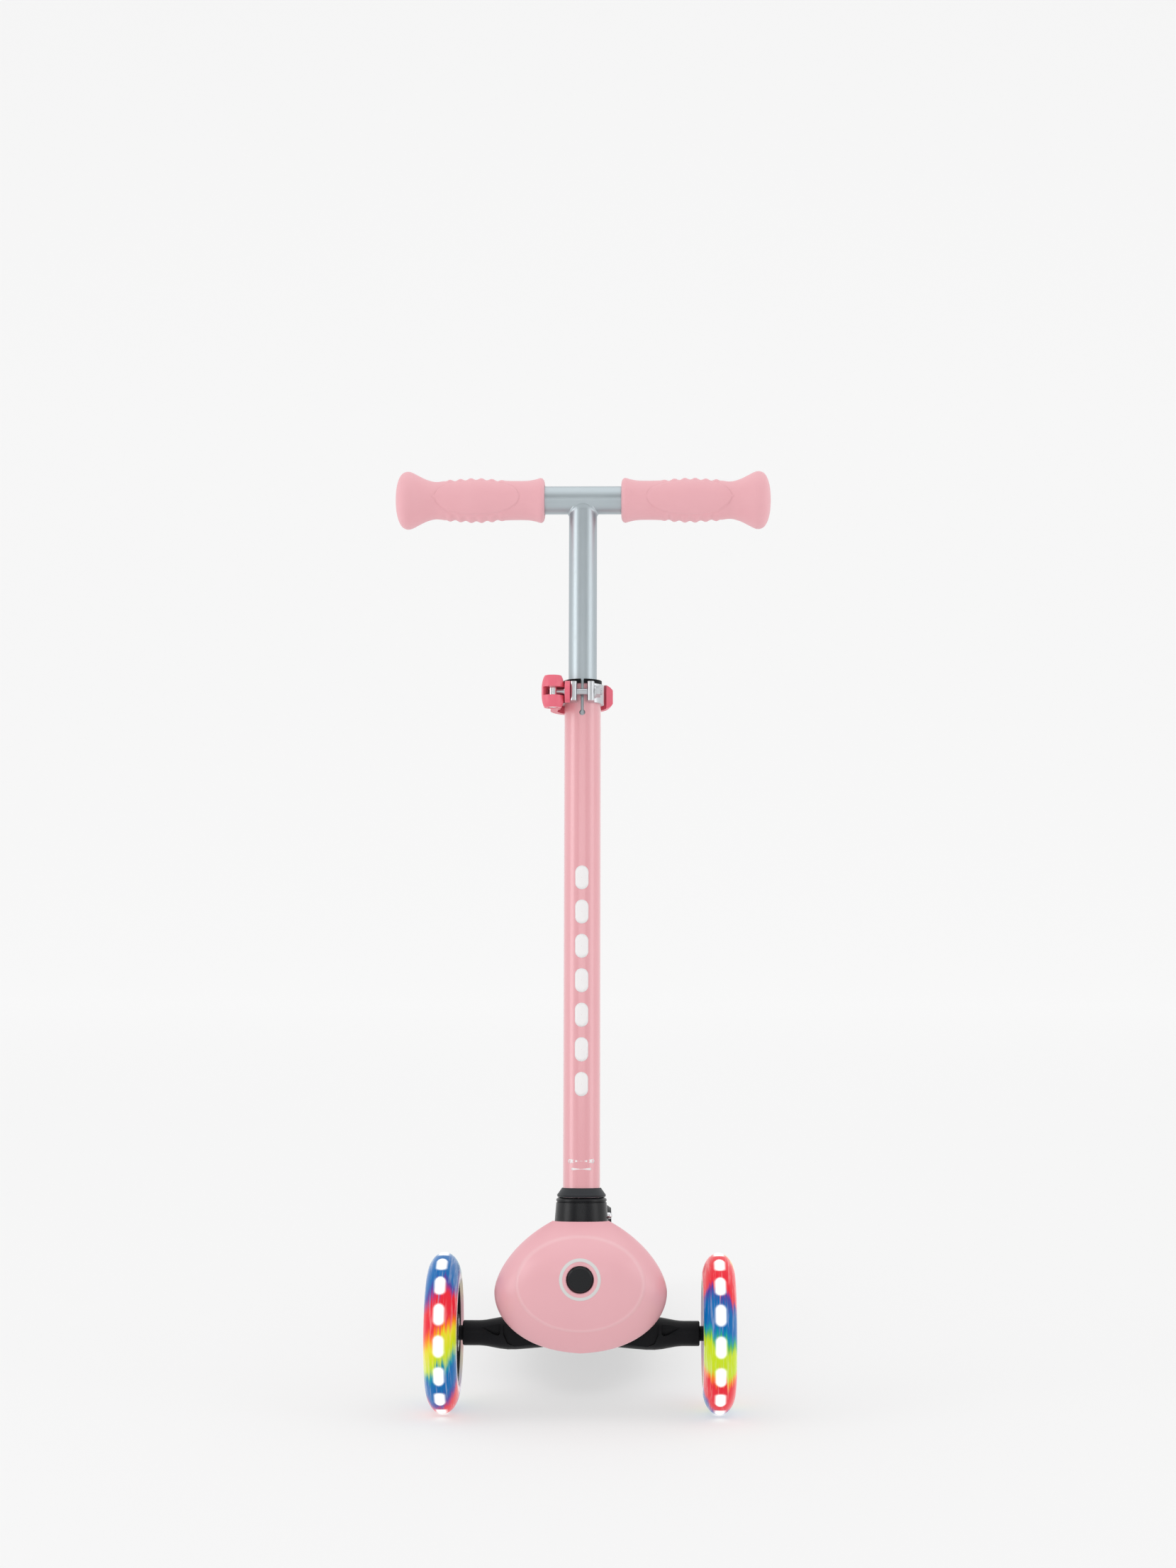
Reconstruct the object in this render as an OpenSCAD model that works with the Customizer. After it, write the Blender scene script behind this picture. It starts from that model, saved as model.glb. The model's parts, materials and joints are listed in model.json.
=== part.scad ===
// Three-wheel kick scooter for a small child: lean-to-steer front axle, height-adjustable handlebar
// with a quick-release clamp, and a foot brake over the rear wheel. It rides towards -Y.

/* [Overall] */
// Distance from the front axle to the rear axle
wheelbase = 440; // [380:5:540]
// Distance between the middles of the two front wheels
front_track = 210; // [196:1:260]
// Height of the handlebar's centre line, at its middle setting
bar_height = 705; // [640:5:860]
// Width across the ends of the two grips
bar_width = 297.6; // [250:0.4:370]
// Backward lean of the steering column, in degrees
rake = 7; // [4:0.5:9]

/* [Column] */
// Height of the column tube's top
column_top = 557; // [480:1:580]
// Outer diameter of the column tube
column_d = 28.6; // [28:0.1:35]
// Wall of the column tube
column_wall = 1.2; // [1:0.1:1.5]
// Outer diameter of the stem and of the crossbar
stem_d = 22.2; // [18.5:0.1:22.6]
// Wall of the stem and of the crossbar
stem_wall = 1.6; // [1.2:0.1:2.4]
// Length of stem inside the column, at the middle setting
stem_inset = 150; // [120:1:200]
// Length of the plastic liner inside the column's top
liner_l = 60; // [40:1:64]

/* [Clamp] */
// Height of the split collar and its lugs
collar_h = 15; // [12:0.5:20]
// Wall of the split collar
collar_wall = 2.5; // [2:0.1:4]
// Gap between the two lugs
lug_gap = 8; // [6:0.5:10]
// Thickness of each lug
lug_t = 5.5; // [4:0.5:7]
// Diameter of the cross bolt
clamp_bolt_d = 5; // [4:0.1:6]
// Diameter of the lever's pivot barrel
barrel_d = 7.6; // [7:0.1:9]
// Height of the lever at its head
lever_h = 25; // [22:0.5:30]
// Thickness of the lever's curved arm
lever_t = 5.4; // [4:0.1:7]

/* [Grips] */
// Length of each grip
grip_l = 118.5; // [100:0.5:125]
// Thickness of rubber over the bar, where the hand holds it
grip_wall = 4.6; // [3:0.1:6]
// Radius that the bulb end adds to the bar
bulb_wall = 11.8; // [9:0.1:14]

/* [Front wheels] */
// Diameter of the front wheels
front_wheel_d = 121; // [110:1:146]
// Width of the front wheels
front_wheel_w = 25; // [23:0.5:30]
// Depth of the tread's rounded crown
front_crown = 18; // [12:0.5:20]
// Outer diameter of the front wheels' spoked cores
front_core_d = 79; // [70:1:82]
// Number of light windows round each tread
light_count = 16; // [8:1:18]

/* [Rear wheel] */
// Diameter of the rear wheel
rear_wheel_d = 80; // [74:1:96]
// Width of the rear wheel
rear_wheel_w = 28; // [22:0.5:32]
// Gap between the brake's arch and the rear wheel
brake_gap = 5; // [4:0.5:8]

/* [Bearings and axles] */
// Outer diameter of every ball bearing
bearing_d = 22; // [20:0.1:26]
// Width of every ball bearing
bearing_w = 7; // [6:0.5:8]
// Diameter of the wheel axles
axle_d = 8; // [7:0.1:9.6]
// Diameter of the leaning pivot bolt
kingpin_d = 8; // [7:0.1:9.6]
// Forward lean of the pivot bolt from level, in degrees
kingpin_tilt = 30; // [28:1:34]
// Diameter of the wheel arms at their ends
arm_d = 19; // [17:0.5:23]

/* [Deck] */
// Width of the deck
deck_w = 115; // [100:1:138]
// Height of the deck's standing face
deck_top = 63; // [62:0.5:64]
// Depth of the deck frame
deck_h = 18; // [15:0.5:18]
// Wall of the deck frame
deck_wall = 4; // [3:0.5:5]
// Thickness of the soft deck pad
pad_t = 3; // [2:0.5:4]

/* [Cover] */
// Greatest half width of the front cover
cover_half_w = 65.3; // [60:0.1:66]
// Height of the cover's lower end
cover_low = 51; // [50:0.5:53]
// Height of the cover's top edge
cover_high = 148.6; // [147:0.2:150]
// Thickness of the cover's wall
cover_wall = 2.6; // [2:0.1:3.2]
// Diameter of the lock button
lock_d = 19.6; // [17:0.1:20]

/* [Fits] */
// Radial clearance of a running fit
run_gap = 0.05; // [0.03:0.01:0.09]
// Gap between faces that move past each other
body_gap = 0.4; // [0.3:0.1:0.6]

/* [Hidden] */
$fn = 64;

// Finishes
pink = [0.93, 0.70, 0.73];
coral = [0.92, 0.42, 0.50];
bare_metal = [0.78, 0.80, 0.82];
black_plastic = [0.10, 0.11, 0.12];
dark_grey = [0.25, 0.26, 0.28];
steel = [0.62, 0.64, 0.67];

// Driving radii
front_r = front_wheel_d / 2;
rear_r = rear_wheel_d / 2;
column_r = column_d / 2;
column_bore = column_r - column_wall;
stem_r = stem_d / 2;
axle_r = axle_d / 2;
bearing_r = bearing_d / 2;
kingpin_r = kingpin_d / 2;
hub_wall = 3;

// Footprint: the origin sits on the ground under the middle of the whole scooter
fender_t = 3;
fender_r = rear_r + brake_gap + fender_t;
fender_tail = 20;
foot_front = -front_r;
foot_rear = wheelbase + fender_r * cos(fender_tail);
mid_y = (foot_front + foot_rear) / 2;

// Column: its axis starts at the head point and leans back
head_y = 8;
head_z = 143;
column_s = (column_top - head_z) / cos(rake);
bar_s = (bar_height - head_z) / cos(rake);
stem_low = column_s - stem_inset;
socket_depth = 36;
slot_w = 2.3;
keyhole_r = 2.3;
keyhole_drop = 22.9;
liner_rim_t = 3.6;
liner_rim_r = column_r + 0.8;

// Clamp: the cross bolt runs in front of the column
clamp_s = column_s - collar_h / 2;
collar_r = column_r + collar_wall;
bolt_r = clamp_bolt_d / 2;
bolt_end = sqrt(pow(barrel_d / 2, 2) - pow(bolt_r, 2)) - 0.3;
bolt_y = -(column_r + bolt_r + 2);
lug_nose_y = bolt_y - bolt_r - 1.2;
lug_face = lug_gap / 2 + lug_t;
clamp_nut_t = 4.6;
cam_t = 4;
cam_r = 8.6;
lever_head_r = barrel_d / 2 + 5.1;
barrel_x = -(lug_face + cam_t + body_gap + lever_head_r);
lever_in = collar_r + 3;
lever_out = lever_in + lever_t;
lever_tip_r = 9.75;
lever_tip_a = 20;
lever_root_a = 212;
lever_slot_h = clamp_bolt_d + 1.7;
lever_draw = 2.2;

// Grips
bar_half = bar_width / 2;
grip_end_t = 3.8;

// Head and socket
socket_top = 19.7;
socket_floor_t = 4;
socket_r_low = column_r + 6.4;
socket_r_high = column_r + 5.05;
socket_lip_h = 3;
snap_s = 5.8;
snap_r = 2.5;
snap_flange_x = column_bore - 1;

// Pivot of the front truck
kingpin_y = 12;
kingpin_z = 68;
hub_half = 15;
hub_r = kingpin_r + 6.5;
lug_low = hub_half + 1;
lug_high = lug_low + 7;
truck_half = 11;
bushing_t = lug_low - hub_half;
step_x = 59;
step_y = -9;
hollow_y = -7.6;
horn_half = 3.6;
horn_t = 4.5;
horn_gap = 0.75;
horn_top = 116;

// Lock button in the cover
lock_z = 110;
socket_front_y = head_y - (socket_depth + socket_floor_t) * sin(rake) - socket_r_low * cos(rake);
horn_y = socket_front_y - horn_gap - horn_t;
lock_r = lock_d / 2;
plunger_r = 1.5;
boss_floor_y = -30;

// Front wheels
arm_end = front_track / 2 - front_wheel_w / 2 - 2.2;
core_r = front_core_d / 2;
wheel_in = front_track / 2 - 11.3;
wheel_out = front_track / 2 + 8.5;
light_w = 5.9;
light_l = 14;
light_deep = 5;
light_turn = -2;

// Deck
frame_top = deck_top - pad_t;
frame_low = frame_top - deck_h;
deck_front = 56;
deck_rear = wheelbase - rear_r - 7;
foot_y0 = 55;
foot_y1 = 104;
foot_half = 22;
foot_z = frame_low + deck_wall;
foot_gap = 0.1;
leg_in = rear_wheel_w / 2 + 3.5;
leg_out = leg_in + 10;

// Brake pivot, ahead of the rear wheel
brake_y = wheelbase - rear_r - 7;
brake_z = deck_top - 1;
brake_pin_r = 2.5;
brake_eye_r = 5;
brake_eye_half = 9;

// ---- Frames of reference and shared shapes ----

module on_ground() { translate([0, -mid_y, 0]) children(); }

module on_column(s = 0)
{
    on_ground() translate([0, head_y, head_z]) rotate([-rake, 0, 0]) translate([0, 0, s]) children();
}

module on_kingpin()
{
    on_ground() translate([0, kingpin_y, kingpin_z]) rotate([90 - kingpin_tilt, 0, 0]) children();
}

module along_x() { rotate([0, 90, 0]) children(); }

module tube(outer, inner, length)
{
    difference() {
        cylinder(r = outer, h = length);
        translate([0, 0, -1]) cylinder(r = inner, h = length + 2);
    }
}

// A side outline in Y and Z, given a width across X
module slab(half)
{
    rotate([90, 0, 90]) linear_extrude(2 * half, center = true) children();
}

// A smooth line through the given points, steps points to each stretch
function through(p, steps = 4) = concat([for (i = [0:len(p) - 2]) for (k = [0:steps - 1])
    let (t = k / steps, a = p[max(i - 1, 0)], b = p[i], c = p[i + 1], d = p[min(i + 2, len(p) - 1)])
    0.5 * (2 * b + (c - a) * t + (2 * a - 5 * b + 4 * c - d) * t * t + (3 * b - a - 3 * c + d) * t * t * t)
], [p[len(p) - 1]]);

function ease(t) = t <= 0 ? 0 : t >= 1 ? 1 : t * t * (3 - 2 * t);

// Round wire wound in a helix, from the ground up
module coil(radius, wire_r, turns, height, sides = 8, steps = 14)
{
    n = round(turns * steps);
    points = [for (i = [0:n]) for (k = [0:sides - 1])
        let (a = 360 * turns * i / n, b = 360 * k / sides, r = radius + wire_r * cos(b))
        [r * cos(a), r * sin(a), height * i / n + wire_r * sin(b)]];
    skin = [for (i = [0:n - 1]) for (k = [0:sides - 1])
        [i * sides + k, (i + 1) * sides + k, (i + 1) * sides + (k + 1) % sides, i * sides + (k + 1) % sides]];
    ends = [[for (k = [0:sides - 1]) k], [for (k = [sides - 1:-1:0]) n * sides + k]];
    polyhedron(points, concat(skin, ends));
}

// ---- Handlebar ----

module bar_solid(r) { along_x() cylinder(r = r, h = 2 * (bar_half - grip_end_t), center = true); }

module crossbar()
{
    color(bare_metal) on_column(bar_s) difference() {
        bar_solid(stem_r);
        along_x() cylinder(r = stem_r - stem_wall, h = bar_width, center = true);
    }
}

module stem_tube()
{
    color(bare_metal) difference() {
        on_column(stem_low) tube(stem_r, stem_r - stem_wall, bar_s - stem_low);
        on_column(bar_s) bar_solid(stem_r);
    }
}

module stem_bush()
{
    bush_l = 18;
    color(black_plastic) on_column(stem_low) tube(column_bore - run_gap, stem_r, bush_l);
}

// The grip's outline: distance from the bulb's end, and thickness over the bar
module grip()
{
    held = grip_wall;
    outline = through([
        [grip_l, held + 1.6], [grip_l - 1.8, held + 1.9], [grip_l - 6, held + 0.9], [grip_l - 14, held - 0.1],
        [grip_l - 35, held + 0.2], [65, held + 1.4], [48, held + 0.5], [40, held - 0.1], [32, held - 0.9],
        [25, held + 0.7], [18.2, bulb_wall - 3.1], [11, bulb_wall], [5, bulb_wall - 1.6],
        [1.6, bulb_wall - 6.5], [0, -3]
    ]);
    difference() {
        rotate_extrude() polygon(concat(
            [[0, grip_l], [stem_r + held, grip_l]],
            [for (p = outline) [stem_r + p[1], p[0]]],
            [[0, 0]]));
        translate([0, 0, grip_end_t]) cylinder(r = stem_r, h = grip_l);
    }
}

module grip_left()
{
    color(pink) on_column(bar_s) translate([-bar_half, 0, 0]) along_x() grip();
}

module grip_right()
{
    color(pink) on_column(bar_s) translate([bar_half, 0, 0]) rotate([0, -90, 0]) grip();
}

// ---- Column and clamp ----

// The slit that lets the column's top close on the stem, with its keyhole end
module column_slit()
{
    translate([-slot_w / 2, -collar_r - 5, column_s - keyhole_drop])
        cube([slot_w, collar_r + 5, keyhole_drop + 5]);
    translate([0, 0, column_s - keyhole_drop]) rotate([90, 0, 0]) cylinder(r = keyhole_r, h = collar_r + 5);
}

module column_tube()
{
    color(pink) on_column() difference() {
        translate([0, 0, -socket_depth]) tube(column_r, column_bore, column_s + socket_depth);
        column_slit();
        translate([0, 0, snap_s]) along_x() cylinder(r = snap_r + run_gap, h = column_r + 5);
    }
}

module column_liner()
{
    color(black_plastic) on_column() difference() {
        union() {
            translate([0, 0, column_s - liner_l]) cylinder(r = column_bore, h = liner_l);
            translate([0, 0, column_s]) cylinder(r = liner_rim_r, h = liner_rim_t);
        }
        translate([0, 0, column_s - liner_l - 1]) cylinder(r = stem_r + run_gap, h = liner_l + 10);
        column_slit();
    }
}

module clamp_collar()
{
    color(bare_metal) on_column(clamp_s) difference() {
        union() {
            cylinder(r = collar_r, h = collar_h, center = true);
            for (side = [-1, 1]) {
                translate([side * (lug_gap + lug_t) / 2, lug_nose_y, 0]) {
                    cylinder(r = lug_t / 2, h = collar_h, center = true);
                    translate([-lug_t / 2, 0, -collar_h / 2])
                        cube([lug_t, -lug_nose_y - column_r + 2, collar_h]);
                }
            }
        }
        cylinder(r = column_r, h = collar_h + 2, center = true);
        translate([-lug_gap / 2, -3 * column_r, -collar_h]) cube([lug_gap, 3 * column_r, 2 * collar_h]);
        translate([0, bolt_y, 0]) along_x() cylinder(r = bolt_r, h = 4 * column_r, center = true);
    }
}

module clamp_bolt()
{
    color(steel) on_column(clamp_s) translate([barrel_x - bolt_end, bolt_y, 0]) along_x()
        cylinder(r = bolt_r, h = bolt_end - barrel_x + lug_face + clamp_nut_t + 1.4);
}

module clamp_nut()
{
    color(bare_metal) on_column(clamp_s) translate([lug_face, bolt_y, 0]) along_x() difference() {
        union() {
            cylinder(r = bolt_r + 2.6, h = 1.2);
            cylinder(r = bolt_r + 2.1, h = clamp_nut_t, $fn = 6);
        }
        translate([0, 0, -1]) cylinder(r = bolt_r, h = clamp_nut_t + 2);
    }
}

module clamp_barrel()
{
    color(bare_metal) on_column(clamp_s) translate([barrel_x, bolt_y, 0]) difference() {
        cylinder(r = barrel_d / 2, h = lever_h - 0.6, center = true);
        along_x() cylinder(r = bolt_r, h = 2 * barrel_d, center = true);
    }
}

// Round seat that the lever's cam bears on
module clamp_washer()
{
    color(coral) on_column(clamp_s) difference() {
        translate([-lug_face - cam_t, bolt_y, 0]) along_x() cylinder(r = cam_r, h = cam_t);
        cylinder(r = collar_r, h = 3 * cam_r, center = true);
        translate([0, bolt_y, 0]) along_x() cylinder(r = bolt_r, h = 8 * lug_face, center = true);
    }
}

module clamp_lever()
{
    // The head is barrel-shaped: it draws in towards its two ends
    half = lever_h / 2;
    barrel = [for (k = [-6:6]) [lever_head_r - lever_draw * pow(abs(k) / 6, 3), half * k / 6]];
    color(coral) on_column(clamp_s) difference() {
        intersection() {
            union() {
                translate([barrel_x, bolt_y, 0])
                    rotate_extrude() polygon(concat([[0, -half]], barrel, [[0, half]]));
                linear_extrude(lever_h, center = true) difference() {
                    circle(r = lever_out);
                    circle(r = lever_in);
                    polygon([[0, 0], [60 * cos(lever_root_a), 60 * sin(lever_root_a)], [0, -90], [60, -60],
                        [60 * cos(lever_tip_a), 60 * sin(lever_tip_a)]]);
                }
            }
            // Seen from the front, the lever narrows to a rounded end
            rotate([90, 0, 0]) linear_extrude(8 * column_r, center = true) {
                tip_x = lever_out - lever_tip_r;
                polygon([[-60, -lever_h / 2], [-lever_in / 2, -lever_h / 2], [tip_x, -lever_tip_r],
                    [tip_x, lever_tip_r], [-lever_in / 2, lever_h / 2], [-60, lever_h / 2]]);
                translate([lever_out - lever_tip_r, 0]) circle(r = lever_tip_r);
            }
        }
        translate([barrel_x, bolt_y, 0]) {
            cylinder(r = barrel_d / 2 + run_gap, h = 2 * lever_h, center = true);
            // Slot that the bolt sweeps through as the lever opens
            linear_extrude(lever_slot_h, center = true) polygon([
                [0, bolt_r + 0.8], [40, bolt_r + 0.8], [40, -40], [-28, -40], [-bolt_r - 2, 0]]);
        }
    }
}

module base_ring()
{
    color(dark_grey) on_column() difference() {
        rotate_extrude() polygon([[0, 20.1], [column_r + 4, 20.1], [column_r + 4.5, 21.6], [column_r + 0.7, 27],
            [0, 27]]);
        cylinder(r = column_r, h = 60);
    }
}

// ---- Head ----

module head_housing()
{
    lip = socket_top - socket_lip_h;
    low = -socket_depth - socket_floor_t;
    socket = [[0, low], [socket_r_low, low], [socket_r_low, 0],
        [socket_r_high, lip - 0.8], [socket_r_high - 0.6, lip - 0.4], [socket_r_high - 0.6, lip],
        [socket_r_high, lip + 0.4], [socket_r_high, socket_top - 1.2], [socket_r_high - 1, socket_top - 0.4],
        [socket_r_high - 2, socket_top], [0, socket_top]];
    color(black_plastic) difference() {
        union() {
            on_column() rotate_extrude() polygon(socket);
            on_ground() {
                // Block, then the neck that runs down to the deck
                slab(15) polygon([[-12, 93], [-12, 122], [0, 128], [24, 128], [38, 118], [60, 90], [78, 74],
                    [foot_y1, frame_top], [foot_y1, foot_z], [foot_y0, foot_z], [50, 66], [38, 84], [30, 93]]);
                slab(foot_half) polygon([[foot_y0, foot_z], [foot_y0, foot_z + 10], [foot_y1, foot_z + 10],
                    [foot_y1, foot_z]]);
                // Flange behind the cover
                slab(30) polygon([[-12, 93], [-12, 123], [-6, 123], [-6, 93]]);
            }
            on_kingpin() {
                cylinder(r = hub_r, h = 2 * hub_half, center = true);
                translate([-7, 0, -hub_half]) cube([14, 32, 2 * hub_half]);
            }
        }
        on_column(-socket_depth) cylinder(r = column_r, h = 3 * socket_depth);
        on_column(snap_s) along_x() cylinder(r = snap_r + 0.2, h = 3 * column_r);
        on_kingpin() cylinder(r = kingpin_r + 1, h = 4 * hub_half, center = true);
        on_ground() {
            for (p = cover_posts) translate([p[0], 0, p[1]]) rotate([90, 0, 0])
                cylinder(r = 1.6, h = 40, center = true);
            for (p = foot_screws) translate([p[0], p[1], foot_z - 1]) cylinder(r = 3, h = 13);
        }
    }
}

post_x = column_r + 10;
cover_posts = [[-post_x, 117], [post_x, 117], [-post_x, 99], [post_x, 99]];
foot_screws = [[-15, 67], [15, 67], [-15, 94], [15, 94]];

module snap_button()
{
    stand = column_r + 6.9;
    color(steel) on_column(snap_s) along_x() {
        translate([0, 0, snap_flange_x]) cylinder(r = snap_r, h = stand - snap_flange_x);
        translate([0, 0, stand]) intersection() {
            sphere(r = snap_r);
            cylinder(r = snap_r, h = snap_r);
        }
        translate([0, 0, snap_flange_x - 1.2]) cylinder(r = snap_r + 1.2, h = 1.2);
    }
}

// Leaf spring folded inside the column, behind the snap button
module snap_clip()
{
    leaf = 0.6;
    right = snap_flange_x - 1.2;
    left = -column_bore + 1.2;
    low = snap_s - 30;
    color(steel) on_column() rotate([90, 0, 0]) linear_extrude(6, center = true) polygon([
        [right, snap_s + 4], [right, snap_s - 4], [2, low], [-2, low], [left, snap_s - 4], [left, snap_s + 6],
        [left + leaf, snap_s + 6], [left + leaf, snap_s - 4], [-2 + leaf, low + 1.5], [2 - leaf, low + 1.5],
        [right - leaf, snap_s - 4], [right - leaf, snap_s + 4]]);
}

// ---- Cover and steering lock ----

// Half width, rim and crest of the cover at height z
cover_wide = 96;
function cover_half(z) = cover_half_w * (z < cover_wide
    ? sqrt(max(0, 1 - pow((cover_wide - z) / (cover_wide - cover_low), 2)))
    : pow(max(0, 1 - pow((z - cover_wide) / 60, 1.7)), 0.7));
function cover_rim(z) = -26 + 12 * ease((z - cover_low) / (cover_high - cover_low));
function cover_crest(z) = z < lock_z
    ? -48 + 20 * pow((lock_z - z) / (lock_z - cover_low), 2.4)
    : -48 + 29 * pow((z - lock_z) / (cover_high - lock_z), 2.2);
function cover_y(x, z) = let (u = min(1, abs(x) / cover_half(z)))
    cover_rim(z) + (cover_crest(z) - cover_rim(z)) * pow(1 - pow(u, 2.4), 0.55);

module cover_shell()
{
    across = 32;
    up = 26;
    // The outside, then the same grid drawn in by the wall
    function outside(i, j) = let (
        z = cover_low + 0.6 + (cover_high - cover_low - 0.6) * (1 - cos(180 * j / up)) / 2,
        x = cover_half(z) * sin(90 * (2 * i / across - 1)))
        [x, cover_y(x, z), z];
    function inside(i, j) = let (
        p = outside(i, j),
        u = 2 * i / across - 1,
        v = 2 * j / up - 1)
        [p[0] * (1 - cover_wall / 40), p[1] + cover_wall * (1 - pow(abs(u), 8)),
            p[2] - v * cover_wall * pow(abs(v), 3) * 0.6];
    n = (across + 1) * (up + 1);
    points = concat(
        [for (j = [0:up]) for (i = [0:across]) outside(i, j)],
        [for (j = [0:up]) for (i = [0:across]) inside(i, j)]);
    function at(i, j) = j * (across + 1) + i;
    rim = concat(
        [for (i = [0:across - 1]) at(i, 0)],
        [for (j = [0:up - 1]) at(across, j)],
        [for (i = [across:-1:1]) at(i, up)],
        [for (j = [up:-1:1]) at(0, j)]);
    front = [for (j = [0:up - 1]) for (i = [0:across - 1]) for (f = [
        [at(i, j), at(i, j + 1), at(i + 1, j + 1)], [at(i, j), at(i + 1, j + 1), at(i + 1, j)]]) f];
    back = [for (f = front) [n + f[0], n + f[2], n + f[1]]];
    edge = [for (k = [0:len(rim) - 1]) let (a = rim[k], b = rim[(k + 1) % len(rim)]) for (f = [
        [a, b, n + b], [a, n + b, n + a]]) f];
    polyhedron(points, concat(front, back, edge));
}

module front_cover()
{
    crest = cover_crest(lock_z);
    color(pink) on_ground() difference() {
        union() {
            cover_shell();
            // Boss round the lock button, and the four posts that reach the head
            translate([0, crest + 1.4, lock_z]) rotate([-90, 0, 0])
                cylinder(r = lock_r + 3, h = boss_floor_y + 2 - crest - 1.4);
            for (p = cover_posts) translate([p[0], cover_y(p[0], p[1]) + 1.4, p[1]]) rotate([-90, 0, 0])
                cylinder(r = 3.6, h = -12 - cover_y(p[0], p[1]) - 1.4);
        }
        translate([0, boss_floor_y, lock_z]) rotate([90, 0, 0]) cylinder(r = lock_r + 0.45, h = 60);
        translate([0, 0, lock_z]) rotate([90, 0, 0]) cylinder(r = plunger_r + run_gap, h = 60);
        for (p = cover_posts) translate([p[0], -12 - 9, p[1]]) rotate([-90, 0, 0]) cylinder(r = 1.5, h = 20);
    }
}

module cover_screws()
{
    color(steel) on_ground() for (p = cover_posts) translate([p[0], -6, p[1]]) rotate([90, 0, 0]) {
        cylinder(r = 1.5, h = 14);
        translate([0, 0, -2]) cylinder(r = 3, h = 2);
    }
}

module lock_button()
{
    crest = cover_crest(lock_z);
    color(black_plastic) on_ground() translate([0, crest - 0.6, lock_z]) rotate([-90, 0, 0]) difference() {
        union() {
            cylinder(r1 = lock_r - 1.2, r2 = lock_r, h = 1.2);
            translate([0, 0, 1.2]) cylinder(r = lock_r, h = 6.5);
        }
        translate([0, 0, 3]) tube(lock_r - 1.6, plunger_r + 2, 10);
        translate([0, 0, 2.5]) cylinder(r = plunger_r, h = 12);
    }
}

module lock_plunger()
{
    crest = cover_crest(lock_z);
    tip = horn_y - body_gap - 0.2;
    color(steel) on_ground() translate([0, crest + 1.9, lock_z]) rotate([-90, 0, 0])
        cylinder(r = plunger_r, h = tip - crest - 1.9);
}

module lock_spring()
{
    crest = cover_crest(lock_z);
    wire = 0.5;
    color(steel) on_ground() translate([0, crest + 2.4 + wire, lock_z]) rotate([-90, 0, 0])
        coil(plunger_r + 3.4, wire, 5, boss_floor_y - crest - 2.4 - 2 * wire);
}

// ---- Front truck ----

module truck_body()
{
    half = arm_end;
    arm_r = arm_d / 2;
    swell = through([[0, arm_r], [22, arm_r + 0.6], [38, arm_r + 2], [56, arm_r + 3], [72, arm_r + 0.5],
        [78, arm_r]], 3);
    color(black_plastic) difference() {
        union() {
            on_ground() translate([0, 0, front_r]) for (side = [0, 1]) mirror([side, 0, 0]) along_x()
                rotate_extrude() polygon(concat([[0, 0]], [for (p = swell) [p[1], p[0]]],
                    [[arm_r, half - 0.8], [arm_r - 0.8, half], [0, half]]));
            on_kingpin() {
                for (z = [lug_low, -lug_high]) translate([0, 0, z])
                    cylinder(r = hub_r + 0.5, h = lug_high - lug_low);
                translate([-truck_half, -hub_r - 6.5, -lug_high]) cube([2 * truck_half, 14, 2 * lug_high]);
            }
            // Forked horn that the steering lock's pin drops into
            on_ground() slab(horn_half) polygon([[-8, 64], [horn_y, 70], [horn_y, horn_top],
                [horn_y + horn_t, horn_top], [horn_y + horn_t, 90], [-5, 82]]);
        }
        on_kingpin() {
            cylinder(r = hub_r + body_gap, h = 2 * lug_low, center = true);
            translate([-hub_r - body_gap, 0, -lug_low]) cube([2 * (hub_r + body_gap), 40, 2 * lug_low]);
            cylinder(r = kingpin_r, h = 4 * lug_high, center = true);
            translate([0, 0, lug_high]) cylinder(r = 8.2, h = 6);
            translate([0, 0, -lug_high - 12]) cylinder(r = 8.2, h = 12);
        }
        on_ground() {
            translate([-plunger_r - 0.1, horn_y - 1, lock_z]) cube([2 * plunger_r + 0.2, horn_t + 2, 20]);
            translate([0, 0, lock_z]) rotate([90, 0, 0]) cylinder(r = plunger_r + 0.1, h = 40);
            for (side = [-1, 1]) translate([side * (half + 1), 0, front_r]) rotate([0, -90 * side, 0])
                cylinder(r = axle_r, h = 40);
            // Step where each arm leaves the middle, and the tear-shaped hollow beside it
            for (side = [0, 1]) mirror([side, 0, 0]) translate([0, 0, front_r]) {
                translate([0, step_y, 0]) rotate([90, 0, 0]) linear_extrude(20)
                    polygon([[step_x, 30], [step_x, 1], [step_x - 3, -6], [step_x - 10, -9.5], [30, -10.5],
                        [30, 30]]);
                translate([0, hollow_y, 0]) rotate([90, 0, 0]) linear_extrude(20)
                    polygon([[step_x + 2.4, 8.4], [step_x + 18, 6.6], [step_x + 12, 3.4], [step_x + 7, 0.8],
                        [step_x + 4, 0.2], [step_x + 2.4, 1.4]]);
            }
        }
    }
}

module kingpin()
{
    color(steel) on_kingpin() {
        translate([0, 0, -lug_high - 7]) cylinder(r = kingpin_r, h = 2 * lug_high + 7);
        translate([0, 0, lug_high]) cylinder(r = 7.2, h = 4.4, $fn = 6);
    }
}

module kingpin_nut()
{
    color(steel) on_kingpin() translate([0, 0, -lug_high]) rotate([180, 0, 0]) difference() {
        cylinder(r = 7.2, h = 5.5, $fn = 6);
        translate([0, 0, -1]) cylinder(r = kingpin_r, h = 9);
    }
}

// Flanged plastic bushes in the two ends of the hub
module pivot_sleeves()
{
    sleeve_l = hub_half - 2;
    color([0.9, 0.9, 0.85]) on_kingpin() for (side = [0, 180]) rotate([side, 0, 0])
        translate([0, 0, hub_half - sleeve_l]) tube(kingpin_r + 1, kingpin_r + run_gap, sleeve_l);
}

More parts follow.
